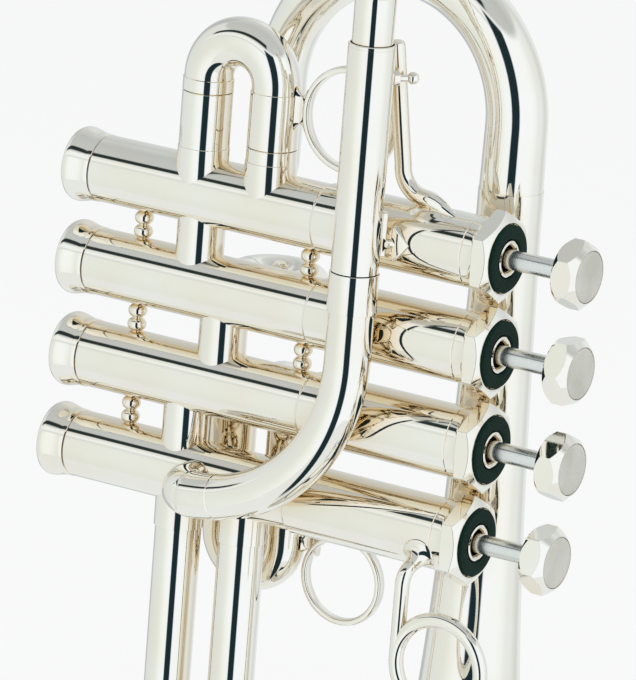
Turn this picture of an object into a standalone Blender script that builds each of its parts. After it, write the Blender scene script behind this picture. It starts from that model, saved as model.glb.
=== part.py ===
"""A four-valve piccolo trumpet standing on its bell rim.

Metres, +Z up. The origin is under the middle of the bell rim's and the bottom caps' extent. The valves
lie along X with their buttons toward +X, the bell is on the +Y side and the leadpipe on the -Y side.
"""

import math

import bmesh
import bpy
from mathutils import Matrix, Vector

# Clearances
FIT = 0.0003  # gap left at a soldered or screwed seat, and round a sliding tube

# Layout of the valve block
PITCH = 0.025  # from one valve's axis to the next
VALVE_4_Z = 0.112  # the lowest valve's axis above the bell rim
VALVE_4_SHIFT = 0.002  # the fourth valve sits this much further from the buttons' side
CAPS_TO_BELL = 0.1175  # bottom cap ends to the bell's axis, along X
VALVES_TO_BELL = 0.022  # the valves' plane to the bell's axis, along Y
VALVES_TO_LEADPIPE = 0.0165  # the valves' plane to the leadpipe's axis, along Y

# Bell
RIM_R = 0.050
RIM_BEAD_R = 0.0011
FLARE_START = 0.0036  # the flare's own length constant
FLARE_POWER = 0.448
BELL_WALL = 0.0006
BELL_ABOVE_VALVE_1 = 0.0080  # the bell's upper end over the first valve's axis
BELL_RINGS = 9
BELL_SIDES = 30

# Valve casings, measured from the bottom cap's end
CASING_R = 0.0088
CASING_UPPER_R = 0.0093
CASING_WALL = 0.0010
CASING_START = 0.0084
CASING_SEAM = 0.078
CASING_END = 0.1221
CASING_SIDES = 24
CAP_THREAD = 0.005  # how far each cap's threaded ring reaches into the casing

# Caps
BOTTOM_CAP_R = 0.0090
BOTTOM_CAP_RIM_R = 0.0100
CAP_WALL = 0.0012
SKIRT_R = 0.0094
SKIRT_LENGTH = 0.0037
HEX_FLATS = 0.0209
HEX_THICK = 0.0047
HEX_TURN = 30  # degrees, so that two corners point up and down
HEX_FACE_R = 0.0096
HEX_FALL = 0.0009
FELT_R = 0.0087
FELT_HOLE_R = 0.0052
FELT_THICK = 0.0018
FELT_RECESS = 0.0015  # depth of the felt's seat in the cap's face
COLLAR_R = 0.0048
COLLAR_HOLE_R = 0.0036

# Pistons
TRAVEL = 0.0162
PISTON_BOTTOM = 0.030
PISTON_LENGTH = 0.080
STEM_R = 0.00255
SPRING_WIRE_R = 0.0004
SPRING_TURNS = 4
SPRING_CLEAR = 0.0006  # between the spring's coil and the piston's bore
SPRING_POCKET_R = 0.0056
SPRING_POCKET_DEPTH = 0.012

# Finger buttons
BUTTON_FLATS = 0.0158
BUTTON_THICK = 0.0067
BUTTON_FACE_R = 0.0069  # flat face inside the front chamfer
BUTTON_FRONT_FALL = 0.0023  # front chamfer's depth at a corner
BUTTON_BACK_R = 0.0079
BUTTON_BACK_FALL = 0.0017
BUTTON_CLEAR = 0.0004  # what is left under a button at full press
BUTTON_SOCKET = 0.003  # depth of the stem's seat in the button
INLAY_R = 0.0066
INLAY_THICK = 0.0010
INLAY_PROUD = 0.0002
BUTTON_TURNS = (30, 0, 34, 13)  # degrees that each screwed-on button has stopped at

# Tubes of the valve slides
TUBE_R = 0.0062
LEG_R = 0.0066
LEG_WALL = 0.0007
INNER_WALL = 0.0005
FERRULE_R = 0.0065
CROSS_R = 0.0063
CROSS_X = (0.0391, 0.0481, 0.0389)  # crossover tubes from the bottom cap ends
BALUSTER_X = (0.0213, 0.0728)
BALL_R = 0.0024
BALL_HALF = 0.0017  # half a ball's height
FOOT_R = 0.0028
FOOT_EDGE = 0.0003
BALUSTER_SEAT = 0.0012  # how far a foot reaches under a casing's skin

FIRST_SLIDE_Y = -0.0015  # toward the leadpipe from the valves' plane
FIRST_SLIDE_X = (0.0390, 0.0597)
FIRST_LEFT_SPLIT = 0.0268  # above the first valve's axis
FIRST_RIGHT_SPLIT = 0.0155
FIRST_BEND_START = 0.0310
FIRST_INSERT_BOTTOM = 0.0105

SECOND_SLIDE_X = (0.0450, 0.0620)
SECOND_R = 0.0058
SECOND_SPLIT = 0.0145  # behind the valves' plane
SECOND_BEND_START = 0.0155
SECOND_INSERT_BOTTOM = 0.0093

THIRD_SLIDE_X = (0.0420, 0.0598)
THIRD_SLIDE_Y = 0.0180
THIRD_ELBOW_R = 0.0070
THIRD_SPLIT = 0.0120  # below the fourth valve's axis
THIRD_FERRULE = 0.0037
THIRD_BEND_START = 0.0187
THIRD_INSERT = 0.030  # length of inner tube inside the outer leg

FOURTH_SLIDE_X = (0.0386, 0.0584)
FOURTH_KNUCKLE = 0.0152  # below the fourth valve's axis
FOURTH_SPLIT = 0.0620
FOURTH_FERRULE = 0.0050
FOURTH_BEND_START = 0.0820
FOURTH_INSERT = 0.040

# Rings that a finger or the thumb goes through
THUMB_RING_R = 0.0140
THUMB_RING_X = 0.0826
THUMB_RING_RISE = 0.0270  # above the first valve's axis
FINGER_RING_R = 0.01235
FINGER_RING_DROP = 0.0250  # below the fourth valve's axis
RING_BAND = 0.0019
RING_WIDTH = 0.0032
THUMB_RING_FOOT = 0.0100
FINGER_FOOT_RISE = 0.0084  # the foot's middle over the ring's centre
FINGER_RING_GAP = 0.0005  # from the slide's leg to the ring

# Leadpipe
LEADPIPE_X = 0.0963
SLEEVE_R = 0.0061
SLEEVE_WALL = 0.0005
SLEEVE_TOP = 0.0517  # above the first valve's axis
SLEEVE_BOTTOM = 0.0073  # below the first valve's axis
CROOK_FERRULE_R = 0.0064
CROOK_FERRULE_BOTTOM = 0.0175
CROOK_R = 0.0060
CROOK_WALL = 0.0006
CROOK_BEND_R = 0.045
CROOK_DROP = 0.0006  # the crook's lowest run under the fourth valve's axis
CROOK_ELBOW_R = 0.0062
CROOK_SPAN = 0.0488  # the crook's end back from the leadpipe's axis, along X
RECEIVER_TOP = 0.0880  # above the first valve's axis
RECEIVER_R = 0.0064
RECEIVER_LENGTH = 0.0220
RECEIVER_BORE_TOP = 0.0047
RECEIVER_BORE_BOTTOM = 0.0041
LEADPIPE_BORE = 0.0044
LEADPIPE_INSERT = 0.0450
SCREW_RISE = 0.0428  # lock screw above the first valve's axis
SCREW_TURN = 48  # degrees from +X toward +Y
SCREW_SHANK_R = 0.0009
SCREW_HEAD_R = 0.0016
SCREW_REACH = 0.0113  # head's centre from the leadpipe's axis

# Bell bow
BOW_SMALL_X = 0.0465
BOW_SMALL_R = 0.00615
BOW_WALL = 0.0006
BOW_TANGENT = 0.0280  # above the first valve's axis
BOW_ELBOW_R = 0.0070
BOW_STEPS = 12

# Braces and the finger hook
BELL_BRACE_X = 0.1110
BELL_BRACE_R = 0.0018
ROD_R = 0.0022
ROD_BEND_R = 0.0075
ROD_FOOT_X = 0.1100
ROD_X = 0.1000
ROD_Y = -0.0030  # from the valves' plane, at the rod's foot
ROD_TOP = 0.0515
ROD_TOP_SIDE = 0.0020  # rod's top to the leadpipe's axis along X
DIAMOND = 0.0080
DIAMOND_THICK = 0.0016
DIAMOND_X = 0.1030
FLANGE_HEIGHT = 0.0110
FLANGE_RISE = 0.0026  # its middle over the first valve's axis
FLANGE_THICK = 0.0012
HOOK_X = 0.1165
HOOK_Y = -0.0145  # from the valves' plane
HOOK_FOOT_X = 0.1170
HOOK_FOOT_TURN = 28  # degrees that the foot points below level
HOOK_FLARE = 0.0030  # height of the foot's flare over the casing
HOOK_WIRE_R = 0.0019
HOOK_FOOT_R = HOOK_WIRE_R * 1.7
HOOK_NECK_R = HOOK_WIRE_R * 1.2
HOOK_BEND_R = 0.0045
HOOK_RING_R = 0.0125
HOOK_RING_DROP = 0.0302

# Curve bevel resolutions: 4 + 2n sides
SIDES_16 = 6
SIDES_12 = 4
SIDES_10 = 3
SIDES_8 = 2
BEND_STEPS = 8

# How far joined and cutting solids run past the face that they meet
SHORT_OVERRUN = 0.001
OVERRUN = 0.002
LONG_OVERRUN = 0.010

# Places that follow from the layout
VALVE_Z = [VALVE_4_Z + PITCH * (3 - i) for i in range(4)]
Z1, Z2, Z3, Z4 = VALVE_Z
HALF_LENGTH = (CAPS_TO_BELL + VALVE_4_SHIFT + RIM_R) / 2
CAPS_X = -HALF_LENGTH + VALVE_4_SHIFT
BELL_X = CAPS_X + CAPS_TO_BELL
VALVE_Y = -VALVES_TO_BELL
LEAD_Y = VALVE_Y - VALVES_TO_LEADPIPE
BORE_R = CASING_R - CASING_WALL
PISTON_R = BORE_R - FIT
CAP_SEAT = CASING_END + FIT
CAP_FACE = CAP_SEAT + SKIRT_LENGTH + HEX_THICK
FELT_SEAT = CAP_FACE - FELT_RECESS
BUTTON_BOTTOM = FELT_SEAT + FIT + FELT_THICK + TRAVEL + BUTTON_CLEAR
INNER_R = LEG_R - LEG_WALL - FIT

SILVER = ("silver_plate", (0.93, 0.91, 0.85, 1), 1.0, 0.06)
STEEL = ("steel", (0.62, 0.63, 0.63, 1), 1.0, 0.25)
MONEL = ("monel", (0.68, 0.66, 0.62, 1), 1.0, 0.3)
FELT = ("green_felt", (0.01, 0.06, 0.04, 1), 0.0, 0.95)
PEARL = ("pearl_inlay", (0.62, 0.61, 0.57, 1), 0.0, 0.35)


def clear_scene():
    for obj in list(bpy.data.objects):
        bpy.data.objects.remove(obj, do_unlink=True)


def material(spec):
    name, colour, metallic, roughness = spec
    found = bpy.data.materials.get(name)
    if found:
        return found
    made = bpy.data.materials.new(name)
    made.use_nodes = True
    made.diffuse_color = colour
    shader = made.node_tree.nodes["Principled BSDF"]
    shader.inputs["Base Color"].default_value = colour
    shader.inputs["Metallic"].default_value = metallic
    shader.inputs["Roughness"].default_value = roughness
    return made


def link(obj):
    bpy.data.collections["piccolo_trumpet"].objects.link(obj)
    return obj


def finished_mesh(obj, weld=1e-6):
    """The object's evaluated mesh in world space, welded, with its normals out."""
    evaluated = obj.evaluated_get(bpy.context.evaluated_depsgraph_get())
    mesh = bpy.data.meshes.new_from_object(evaluated)
    shape = bmesh.new()
    shape.from_mesh(mesh)
    bmesh.ops.transform(shape, matrix=obj.matrix_world, verts=shape.verts)
    bmesh.ops.remove_doubles(shape, verts=shape.verts, dist=weld)
    bmesh.ops.recalc_face_normals(shape, faces=shape.faces)
    shape.to_mesh(mesh)
    shape.free()
    return mesh


def baked(obj, name=None):
    """A plain mesh object in place of one with modifiers or a curve."""
    bpy.context.view_layer.update()
    mesh = finished_mesh(obj)
    kept = obj.name if name is None else name
    bpy.data.objects.remove(obj, do_unlink=True)
    made = bpy.data.objects.new(kept, mesh)
    return link(made)


def turned(name, profile, sides, place=None, closed=True):
    """A turned solid: (radius, height) points run down the outer side, then up the inner side."""
    mesh = bpy.data.meshes.new(name)
    count = len(profile)
    edges = [(i, i + 1) for i in range(count - 1)]
    if closed:
        edges.append((count - 1, 0))
    mesh.from_pydata([(r, 0, h) for r, h in profile], edges, [])
    obj = link(bpy.data.objects.new(name, mesh))
    screw = obj.modifiers.new("turn", "SCREW")
    screw.axis = "Z"
    screw.angle = math.tau
    screw.steps = screw.render_steps = sides
    screw.use_merge_vertices = True
    screw.merge_threshold = 1e-6
    obj.matrix_world = place or Matrix.Identity(4)
    return baked(obj)


def solid_turned(name, profile, sides, place=None):
    """A turned solid whose profile starts and ends on the axis."""
    return turned(name, profile, sides, place, closed=False)


def cylinder(name, radius, start, end, sides):
    """A cylinder between two points."""
    start, end = Vector(start), Vector(end)
    along = end - start
    shape = bmesh.new()
    bmesh.ops.create_cone(
        shape,
        cap_ends=True,
        segments=sides,
        radius1=radius,
        radius2=radius,
        depth=along.length,
    )
    turn = along.to_track_quat("Z", "Y").to_matrix().to_4x4()
    bmesh.ops.transform(shape, matrix=Matrix.Translation((start + end) / 2) @ turn, verts=shape.verts)
    mesh = bpy.data.meshes.new(name)
    shape.to_mesh(mesh)
    shape.free()
    return link(bpy.data.objects.new(name, mesh))


def box(name, size, place):
    shape = bmesh.new()
    bmesh.ops.create_cube(shape, size=1, matrix=place @ Matrix.Diagonal((*size, 1)))
    mesh = bpy.data.meshes.new(name)
    shape.to_mesh(mesh)
    shape.free()
    return link(bpy.data.objects.new(name, mesh))


def ball(name, radius, centre, u=12, v=8):
    shape = bmesh.new()
    bmesh.ops.create_uvsphere(shape, u_segments=u, v_segments=v, radius=radius)
    bmesh.ops.translate(shape, vec=centre, verts=shape.verts)
    mesh = bpy.data.meshes.new(name)
    shape.to_mesh(mesh)
    shape.free()
    return link(bpy.data.objects.new(name, mesh))


def tube(name, points, radius, resolution, radii=None, cyclic=False):
    """A round bar along points; radii, one for each point, taper it."""
    curve = bpy.data.curves.new(name, "CURVE")
    curve.dimensions = "3D"
    curve.bevel_depth = 1.0
    curve.bevel_resolution = resolution
    curve.use_fill_caps = not cyclic
    spline = curve.splines.new("POLY")
    spline.points.add(len(points) - 1)
    for i, (point, place) in enumerate(zip(spline.points, points)):
        point.co = (*place, 1)
        point.radius = radii[i] if radii else radius
    spline.use_cyclic_u = cyclic
    return baked(link(bpy.data.objects.new(name, curve)))


def combine(target, other, operation):
    """One EXACT Boolean, with the second object used up."""
    other.display_type = "WIRE"
    other.hide_render = True
    name = target.name
    change = target.modifiers.new(operation.lower(), "BOOLEAN")
    change.operation = operation
    change.solver = "EXACT"
    change.object = other
    target.name = name + "_before"
    made = baked(target, name)
    bpy.data.objects.remove(other, do_unlink=True)
    return made


def together(name, *pieces):
    """Separate bodies in one mesh, so that one Boolean joins or cuts them all."""
    shape = bmesh.new()
    for piece in pieces:
        shape.from_mesh(piece.data)
        bpy.data.objects.remove(piece, do_unlink=True)
    mesh = bpy.data.meshes.new(name)
    shape.to_mesh(mesh)
    shape.free()
    return link(bpy.data.objects.new(name, mesh))


def join(target, *others):
    for other in others:
        target = combine(target, other, "UNION")
    return target


def cut(target, *others):
    for other in others:
        target = combine(target, other, "DIFFERENCE")
    return target


def keep_inside(target, other):
    return combine(target, other, "INTERSECT")


def finish(obj, spec, origin=None):
    """Smooth shading, a material, and the origin on the joint's axis."""
    obj.data.materials.clear()
    obj.data.materials.append(material(spec))
    if origin is not None:
        obj.data.transform(Matrix.Translation(-Vector(origin)))
        obj.location = origin
    obj.data.shade_smooth()
    obj.data.set_sharp_from_angle(angle=math.radians(32))
    return obj


def arc(centre, radius, start, end, steps, u, v):
    """Points on an arc from start to end degrees, where u and v span its plane."""
    centre, u, v = Vector(centre), Vector(u), Vector(v)
    points = []
    for i in range(steps + 1):
        a = math.radians(start + (end - start) * i / steps)
        points.append(centre + u * radius * math.cos(a) + v * radius * math.sin(a))
    return points


def hollow(name, points, outer, inner, resolution, overrun=OVERRUN):
    """A bent pipe: a bar along the points with a thinner bar, run past both ends, cut out of it."""
    points = [Vector(p) for p in points]
    body = tube(name, points, outer, resolution)
    first = points[0] + (points[0] - points[1]).normalized() * overrun
    last = points[-1] + (points[-1] - points[-2]).normalized() * overrun
    return cut(body, tube(name + "_bore", [first, *points, last], inner, SIDES_12))


def caps_end(i):
    """X of a valve's bottom cap end."""
    return CAPS_X - (VALVE_4_SHIFT if i == 3 else 0)


def valve_place(i, along=0.0):
    """Stands local +Z along world +X on a valve's axis."""
    turn = Matrix.Rotation(math.radians(90), 4, "Y")
    return Matrix.Translation((caps_end(i) + along, VALVE_Y, VALVE_Z[i])) @ turn


def casing_cutter(i, radius=CASING_UPPER_R):
    """What a neighbour soldered to a casing is cut with."""
    start = (caps_end(i) + CASING_START, VALVE_Y, VALVE_Z[i])
    end = (caps_end(i) + CASING_END, VALVE_Y, VALVE_Z[i])
    return cylinder("casing_cutter", radius + FIT, start, end, CASING_SIDES)


def casing_body(i, name):
    outer = [(0, CASING_END), (CASING_UPPER_R, CASING_END), (CASING_UPPER_R, CASING_SEAM)]
    lower = [(CASING_R, CASING_SEAM - 0.0004), (CASING_R, CASING_START), (0, CASING_START)]
    return solid_turned(name, outer + lower, CASING_SIDES, valve_place(i))


def baluster(x, z):
    """A post of two balls that stands on a casing and reaches into the one above."""
    middle = PITCH / 2
    spread = BALL_HALF * 0.95
    seat = PITCH - CASING_R
    profile = [(0, seat + BALUSTER_SEAT), (FOOT_R, seat + BALUSTER_SEAT)]
    profile += [(FOOT_R, seat - FOOT_EDGE), (FOOT_R * 0.45, seat - 2 * FOOT_EDGE)]
    for centre in (middle + spread, middle - spread):
        for a in (55, 20, -20, -55):
            r = BALL_R * math.cos(math.radians(a))
            profile.append((r, centre + BALL_HALF * math.sin(math.radians(a))))
    profile += [(FOOT_R * 0.45, CASING_R + 2 * FOOT_EDGE), (FOOT_R, CASING_R + FOOT_EDGE)]
    profile += [(FOOT_R, CASING_R - BALUSTER_SEAT), (0, CASING_R - BALUSTER_SEAT)]
    place = Matrix.Translation((x, VALVE_Y, z))
    return solid_turned("baluster", profile, 10, place)


def pocket(x, y, start, end, radius, sides=16):
    """A bore along Z."""
    return cylinder("pocket", radius, (x, y, start), (x, y, end), sides)


def first_casing_legs(body):
    """The two tubes that carry the first slide: a socket on the left, a spigot on the right."""
    y = VALVE_Y + FIRST_SLIDE_Y
    left, right = (CAPS_X + x for x in FIRST_SLIDE_X)
    legs = together(
        "legs",
        cylinder("leg", LEG_R, (left, y, Z1), (left, y, Z1 + FIRST_LEFT_SPLIT), 16),
        cylinder("leg", LEG_R, (right, y, Z1), (right, y, Z1 + FIRST_RIGHT_SPLIT), 16),
    )
    spigot_end = Z1 + FIRST_BEND_START - SHORT_OVERRUN
    spigot = cylinder("spigot", INNER_R, (right, y, Z1 + LONG_OVERRUN), (right, y, spigot_end), 16)
    body = join(body, legs, spigot)
    floor = Z1 + FIRST_INSERT_BOTTOM - FIT
    top = Z1 + FIRST_LEFT_SPLIT + LONG_OVERRUN
    bores = together(
        "bores",
        pocket(left, y, floor, top, LEG_R - LEG_WALL),
        pocket(right, y, floor, top, INNER_R - INNER_WALL),
    )
    return cut(body, bores)


def second_casing_legs(body):
    end = VALVE_Y + SECOND_SPLIT
    floor = VALVE_Y + SECOND_INSERT_BOTTOM - FIT
    legs = []
    bores = []
    for x in SECOND_SLIDE_X:
        x += CAPS_X
        legs.append(cylinder("leg", SECOND_R, (x, VALVE_Y, Z2), (x, end, Z2), 16))
        bores.append(cylinder("bore", SECOND_R - INNER_WALL, (x, floor, Z2), (x, end + LONG_OVERRUN, Z2), 16))
    return cut(join(body, together("legs", *legs)), together("bores", *bores))


def third_leg_path(x):
    """From inside the third casing, back, round an elbow and down past the fourth valve."""
    y = VALVE_Y + THIRD_SLIDE_Y
    elbow = arc(
        (x, y - THIRD_ELBOW_R, Z3 - THIRD_ELBOW_R), THIRD_ELBOW_R, 90, 0, 5, (0, 1, 0), (0, 0, 1)
    )
    return [Vector((x, VALVE_Y + SHORT_OVERRUN, Z3)), *elbow, Vector((x, y, Z4 - THIRD_SPLIT))]


def third_casing_legs(body):
    y = VALVE_Y + THIRD_SLIDE_Y
    bore_top = Z4 - THIRD_SPLIT + THIRD_INSERT + FIT
    legs = []
    bores = []
    for x in THIRD_SLIDE_X:
        legs.append(tube("leg", third_leg_path(CAPS_X + x), TUBE_R, SIDES_12))
        bores.append(pocket(CAPS_X + x, y, Z4 - 0.05, bore_top, TUBE_R - INNER_WALL, 16))
    return cut(join(body, together("legs", *legs)), together("bores", *bores))


def fourth_casing_legs(body):
    y = VALVE_Y
    end = Z4 - FOURTH_SPLIT
    knuckles = []
    legs = []
    bores = []
    for x in FOURTH_SLIDE_X:
        x += CAPS_X
        knuckles.append(cylinder("knuckle", FERRULE_R, (x, y, Z4), (x, y, Z4 - FOURTH_KNUCKLE), 16))
        legs.append(cylinder("leg", TUBE_R, (x, y, Z4 - FOURTH_KNUCKLE + OVERRUN), (x, y, end), 16))
        bores.append(pocket(x, y, end - LONG_OVERRUN, end + FOURTH_INSERT + FIT, TUBE_R - INNER_WALL, 16))
    body = join(body, together("knuckles", *knuckles), together("legs", *legs))
    return cut(body, together("bores", *bores))


def casing(i):
    name = f"valve_{i + 1}_casing"
    body = casing_body(i, name)
    if i > 0:
        posts = together("balusters", *(baluster(CAPS_X + x, VALVE_Z[i]) for x in BALUSTER_X))
        body = join(body, cut(posts, casing_cutter(i - 1, CASING_R)))
    legs = (first_casing_legs, second_casing_legs, third_casing_legs, fourth_casing_legs)
    body = legs[i](body)
    start = (caps_end(i), VALVE_Y, VALVE_Z[i])
    end = (caps_end(i) + CASING_END + LONG_OVERRUN, VALVE_Y, VALVE_Z[i])
    body = cut(body, cylinder("bore", BORE_R, start, end, CASING_SIDES))
    return finish(body, SILVER)


def bottom_cap(i):
    seat = CASING_START - FIT
    plug = BORE_R - FIT
    top = CASING_START + CAP_THREAD
    profile = [
        (0, CAP_WALL),
        (plug - CAP_WALL, CAP_WALL),
        (plug - CAP_WALL, top),
        (plug, top),
        (plug, seat),
        (BOTTOM_CAP_R, seat),
        (BOTTOM_CAP_R, 0.0046),
        (BOTTOM_CAP_RIM_R, 0.0030),
        (BOTTOM_CAP_RIM_R - 0.0001, 0.0018),
        (BOTTOM_CAP_RIM_R - 0.0016, 0.0005),
        (BOTTOM_CAP_RIM_R - 0.0050, 0.0),
        (0, 0.0),
    ]
    return finish(solid_turned(f"valve_{i + 1}_bottom_cap", profile, 20, valve_place(i)), SILVER)


def hexagon(name, flats, low, high, place, front, back=None):
    """A hexagonal blank with turned chamfers, each given as its face's radius and its depth at a corner."""
    corner = flats / math.sqrt(3)
    nut = cylinder(name, corner, (0, 0, low), (0, 0, high), 6)
    face, fall = front
    profile = [(0, high), (face, high), (corner, high - fall)]
    if back:
        face, fall = back
        profile += [(corner, low + fall), (face, low), (0, low)]
    else:
        profile += [(corner, low), (0, low)]
    # The chamfering shape runs a hair past the blank so that no two faces lie in one plane.
    over = 1.002
    middle = (low + high) / 2
    profile = [(r * over, middle + (h - middle) * over) for r, h in profile]
    nut = keep_inside(nut, solid_turned("chamfer", profile, 18))
    nut.matrix_world = place
    return baked(nut)


def top_cap(i):
    name = f"valve_{i + 1}_top_cap"
    place = valve_place(i)
    hex_low = CAP_SEAT + SKIRT_LENGTH
    turned_place = place @ Matrix.Rotation(math.radians(HEX_TURN), 4, "Z")
    body = hexagon(name, HEX_FLATS, hex_low, CAP_FACE, turned_place, (HEX_FACE_R, HEX_FALL))
    recess = [
        (0, CAP_FACE + SHORT_OVERRUN),
        (FELT_R + FIT, CAP_FACE + SHORT_OVERRUN),
        (FELT_R + FIT, FELT_SEAT),
        (0, FELT_SEAT),
    ]
    body = cut(body, solid_turned("recess", recess, 18, place))
    plug = BORE_R - FIT
    skirt = [
        (0, hex_low + 0.0010),
        (SKIRT_R + 0.0004, hex_low + 0.0010),
        (SKIRT_R + 0.0004, hex_low - 0.0008),
        (SKIRT_R, hex_low - 0.0020),
        (SKIRT_R, CAP_SEAT),
        (plug, CAP_SEAT),
        (plug, CASING_END - CAP_THREAD),
        (0, CASING_END - CAP_THREAD),
    ]
    body = join(body, solid_turned("skirt", skirt, 20, place))
    collar = [
        (0, FELT_SEAT + FELT_THICK),
        (COLLAR_R - 0.0003, FELT_SEAT + FELT_THICK),
        (COLLAR_R, FELT_SEAT + FELT_THICK - 0.0003),
        (COLLAR_R, FELT_SEAT - SHORT_OVERRUN),
        (0, FELT_SEAT - SHORT_OVERRUN),
    ]
    body = join(body, solid_turned("collar", collar, 16, place))
    hole = [
        (0, CAP_FACE + LONG_OVERRUN),
        (COLLAR_HOLE_R, CAP_FACE + LONG_OVERRUN),
        (COLLAR_HOLE_R, hex_low),
        (plug - CAP_WALL, hex_low - 0.0015),
        (plug - CAP_WALL, CAP_SEAT - 0.02),
        (0, CAP_SEAT - 0.02),
    ]
    return finish(cut(body, solid_turned("hole", hole, 14, place)), SILVER)


def felt(i):
    low = FELT_SEAT + FIT
    high = low + FELT_THICK
    profile = [(FELT_R, high), (FELT_R, low), (FELT_HOLE_R, low), (FELT_HOLE_R, high)]
    return finish(turned(f"valve_{i + 1}_cap_felt", profile, 18, valve_place(i)), FELT)


def piston(i):
    """A plain barrel with a spring pocket below; its upper end narrows to the stem's seat."""
    top = PISTON_BOTTOM + PISTON_LENGTH
    profile = [
        (0, top - 0.0005),
        (STEM_R + 0.0012, top - 0.0005),
        (PISTON_R - 0.0012, top - 0.0035),
        (PISTON_R, top - 0.0045),
        (PISTON_R, PISTON_BOTTOM),
        (SPRING_POCKET_R, PISTON_BOTTOM),
        (SPRING_POCKET_R, PISTON_BOTTOM + SPRING_POCKET_DEPTH),
        (0, PISTON_BOTTOM + SPRING_POCKET_DEPTH),
    ]
    obj = solid_turned(f"valve_{i + 1}_piston", profile, 20, valve_place(i))
    return finish(obj, MONEL, (caps_end(i) + top, VALVE_Y, VALVE_Z[i]))


def spring(i):
    """A compression spring from the bottom cap's floor to the pocket in the piston."""
    low = 2 * CAP_WALL + FIT + SPRING_WIRE_R
    high = PISTON_BOTTOM + SPRING_POCKET_DEPTH - FIT - SPRING_WIRE_R
    radius = SPRING_POCKET_R - SPRING_CLEAR - SPRING_WIRE_R
    place = valve_place(i)
    points = []
    steps = SPRING_TURNS * 8
    for k in range(steps + 1):
        a = math.tau * k / 8
        height = low + (high - low) * k / steps
        points.append(place @ Vector((radius * math.cos(a), radius * math.sin(a), height)))
    obj = tube(f"valve_{i + 1}_spring", points, SPRING_WIRE_R, 0)
    return finish(obj, STEEL)


def stem(i):
    low = PISTON_BOTTOM + PISTON_LENGTH - 0.0005 + FIT
    high = BUTTON_BOTTOM + BUTTON_SOCKET - FIT
    profile = [
        (0, high),
        (STEM_R - 0.0003, high),
        (STEM_R - 0.0003, BUTTON_BOTTOM - FIT),
        (STEM_R, BUTTON_BOTTOM - FIT),
        (STEM_R, low),
        (0, low),
    ]
    obj = solid_turned(f"valve_{i + 1}_stem", profile, 12, valve_place(i))
    return finish(obj, STEEL, (caps_end(i) + low, VALVE_Y, VALVE_Z[i]))


def button(i):
    place = valve_place(i) @ Matrix.Rotation(math.radians(BUTTON_TURNS[i]), 4, "Z")
    name = f"valve_{i + 1}_finger_button"
    high = BUTTON_BOTTOM + BUTTON_THICK
    front, back = (BUTTON_FACE_R, BUTTON_FRONT_FALL), (BUTTON_BACK_R, BUTTON_BACK_FALL)
    body = hexagon(name, BUTTON_FLATS, BUTTON_BOTTOM, high, place, front, back)
    seat = [
        (0, BUTTON_BOTTOM + BUTTON_SOCKET),
        (STEM_R, BUTTON_BOTTOM + BUTTON_SOCKET),
        (STEM_R, BUTTON_BOTTOM - SHORT_OVERRUN),
        (0, BUTTON_BOTTOM - SHORT_OVERRUN),
    ]
    well = [
        (0, high + SHORT_OVERRUN),
        (INLAY_R + FIT, high + SHORT_OVERRUN),
        (INLAY_R + FIT, high - INLAY_THICK + INLAY_PROUD - FIT),
        (0, high - INLAY_THICK + INLAY_PROUD - FIT),
    ]
    body = cut(body, solid_turned("seat", seat, 12, place), solid_turned("well", well, 20, place))
    return finish(body, SILVER, (caps_end(i) + BUTTON_BOTTOM, VALVE_Y, VALVE_Z[i]))


def inlay(i):
    high = BUTTON_BOTTOM + BUTTON_THICK + INLAY_PROUD
    low = high - INLAY_THICK
    profile = [(0, high), (INLAY_R, high), (INLAY_R, low), (0, low)]
    obj = solid_turned(f"valve_{i + 1}_button_inlay", profile, 20, valve_place(i))
    return finish(obj, PEARL, (caps_end(i) + low, VALVE_Y, VALVE_Z[i]))


def crossover(k):
    """The short tube from valve k + 1 to valve k + 2, saddled onto both casings."""
    x = CAPS_X + CROSS_X[k]
    top, bottom = VALVE_Z[k], VALVE_Z[k + 1]
    body = cylinder(f"crossover_{k + 1}_{k + 2}", CROSS_R, (x, VALVE_Y, bottom), (x, VALVE_Y, top), 20)
    low, high = bottom - LONG_OVERRUN, top + LONG_OVERRUN
    body = cut(body, cylinder("bore", CROSS_R - LEG_WALL, (x, VALVE_Y, low), (x, VALVE_Y, high), 20))
    saddles = together("saddles", casing_cutter(k, CASING_R), casing_cutter(k + 1, CASING_R))
    return finish(cut(body, saddles), SILVER)


def first_slide():
    """A U whose left leg slips into its socket and whose right leg slips over its spigot."""
    y = VALVE_Y + FIRST_SLIDE_Y
    left, right = (CAPS_X + x for x in FIRST_SLIDE_X)
    bend = (right - left) / 2
    z = Z1 + FIRST_BEND_START
    path = [Vector((left, y, Z1 + FIRST_LEFT_SPLIT + FIT))]
    path += arc(((left + right) / 2, y, z), bend, 180, 0, BEND_STEPS, (1, 0, 0), (0, 0, 1))
    path += [Vector((right, y, Z1 + FIRST_RIGHT_SPLIT + FIT))]
    body = tube("first_slide_crook", path, LEG_R, SIDES_12)
    low = Z1 + FIRST_INSERT_BOTTOM
    body = join(body, cylinder("insert", INNER_R, (left, y, low), (left, y, z - SHORT_OVERRUN), 16))
    bore_path = [Vector((left, y, low - OVERRUN))]
    bore_path += path[1:-1] + [Vector((right, y, Z1))]
    body = cut(
        body,
        tube("bore", bore_path, INNER_R - INNER_WALL, SIDES_10),
        cylinder("socket", LEG_R - LEG_WALL, (right, y, Z1), (right, y, z), 16),
    )
    return finish(body, SILVER, (left, y, low))


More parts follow.
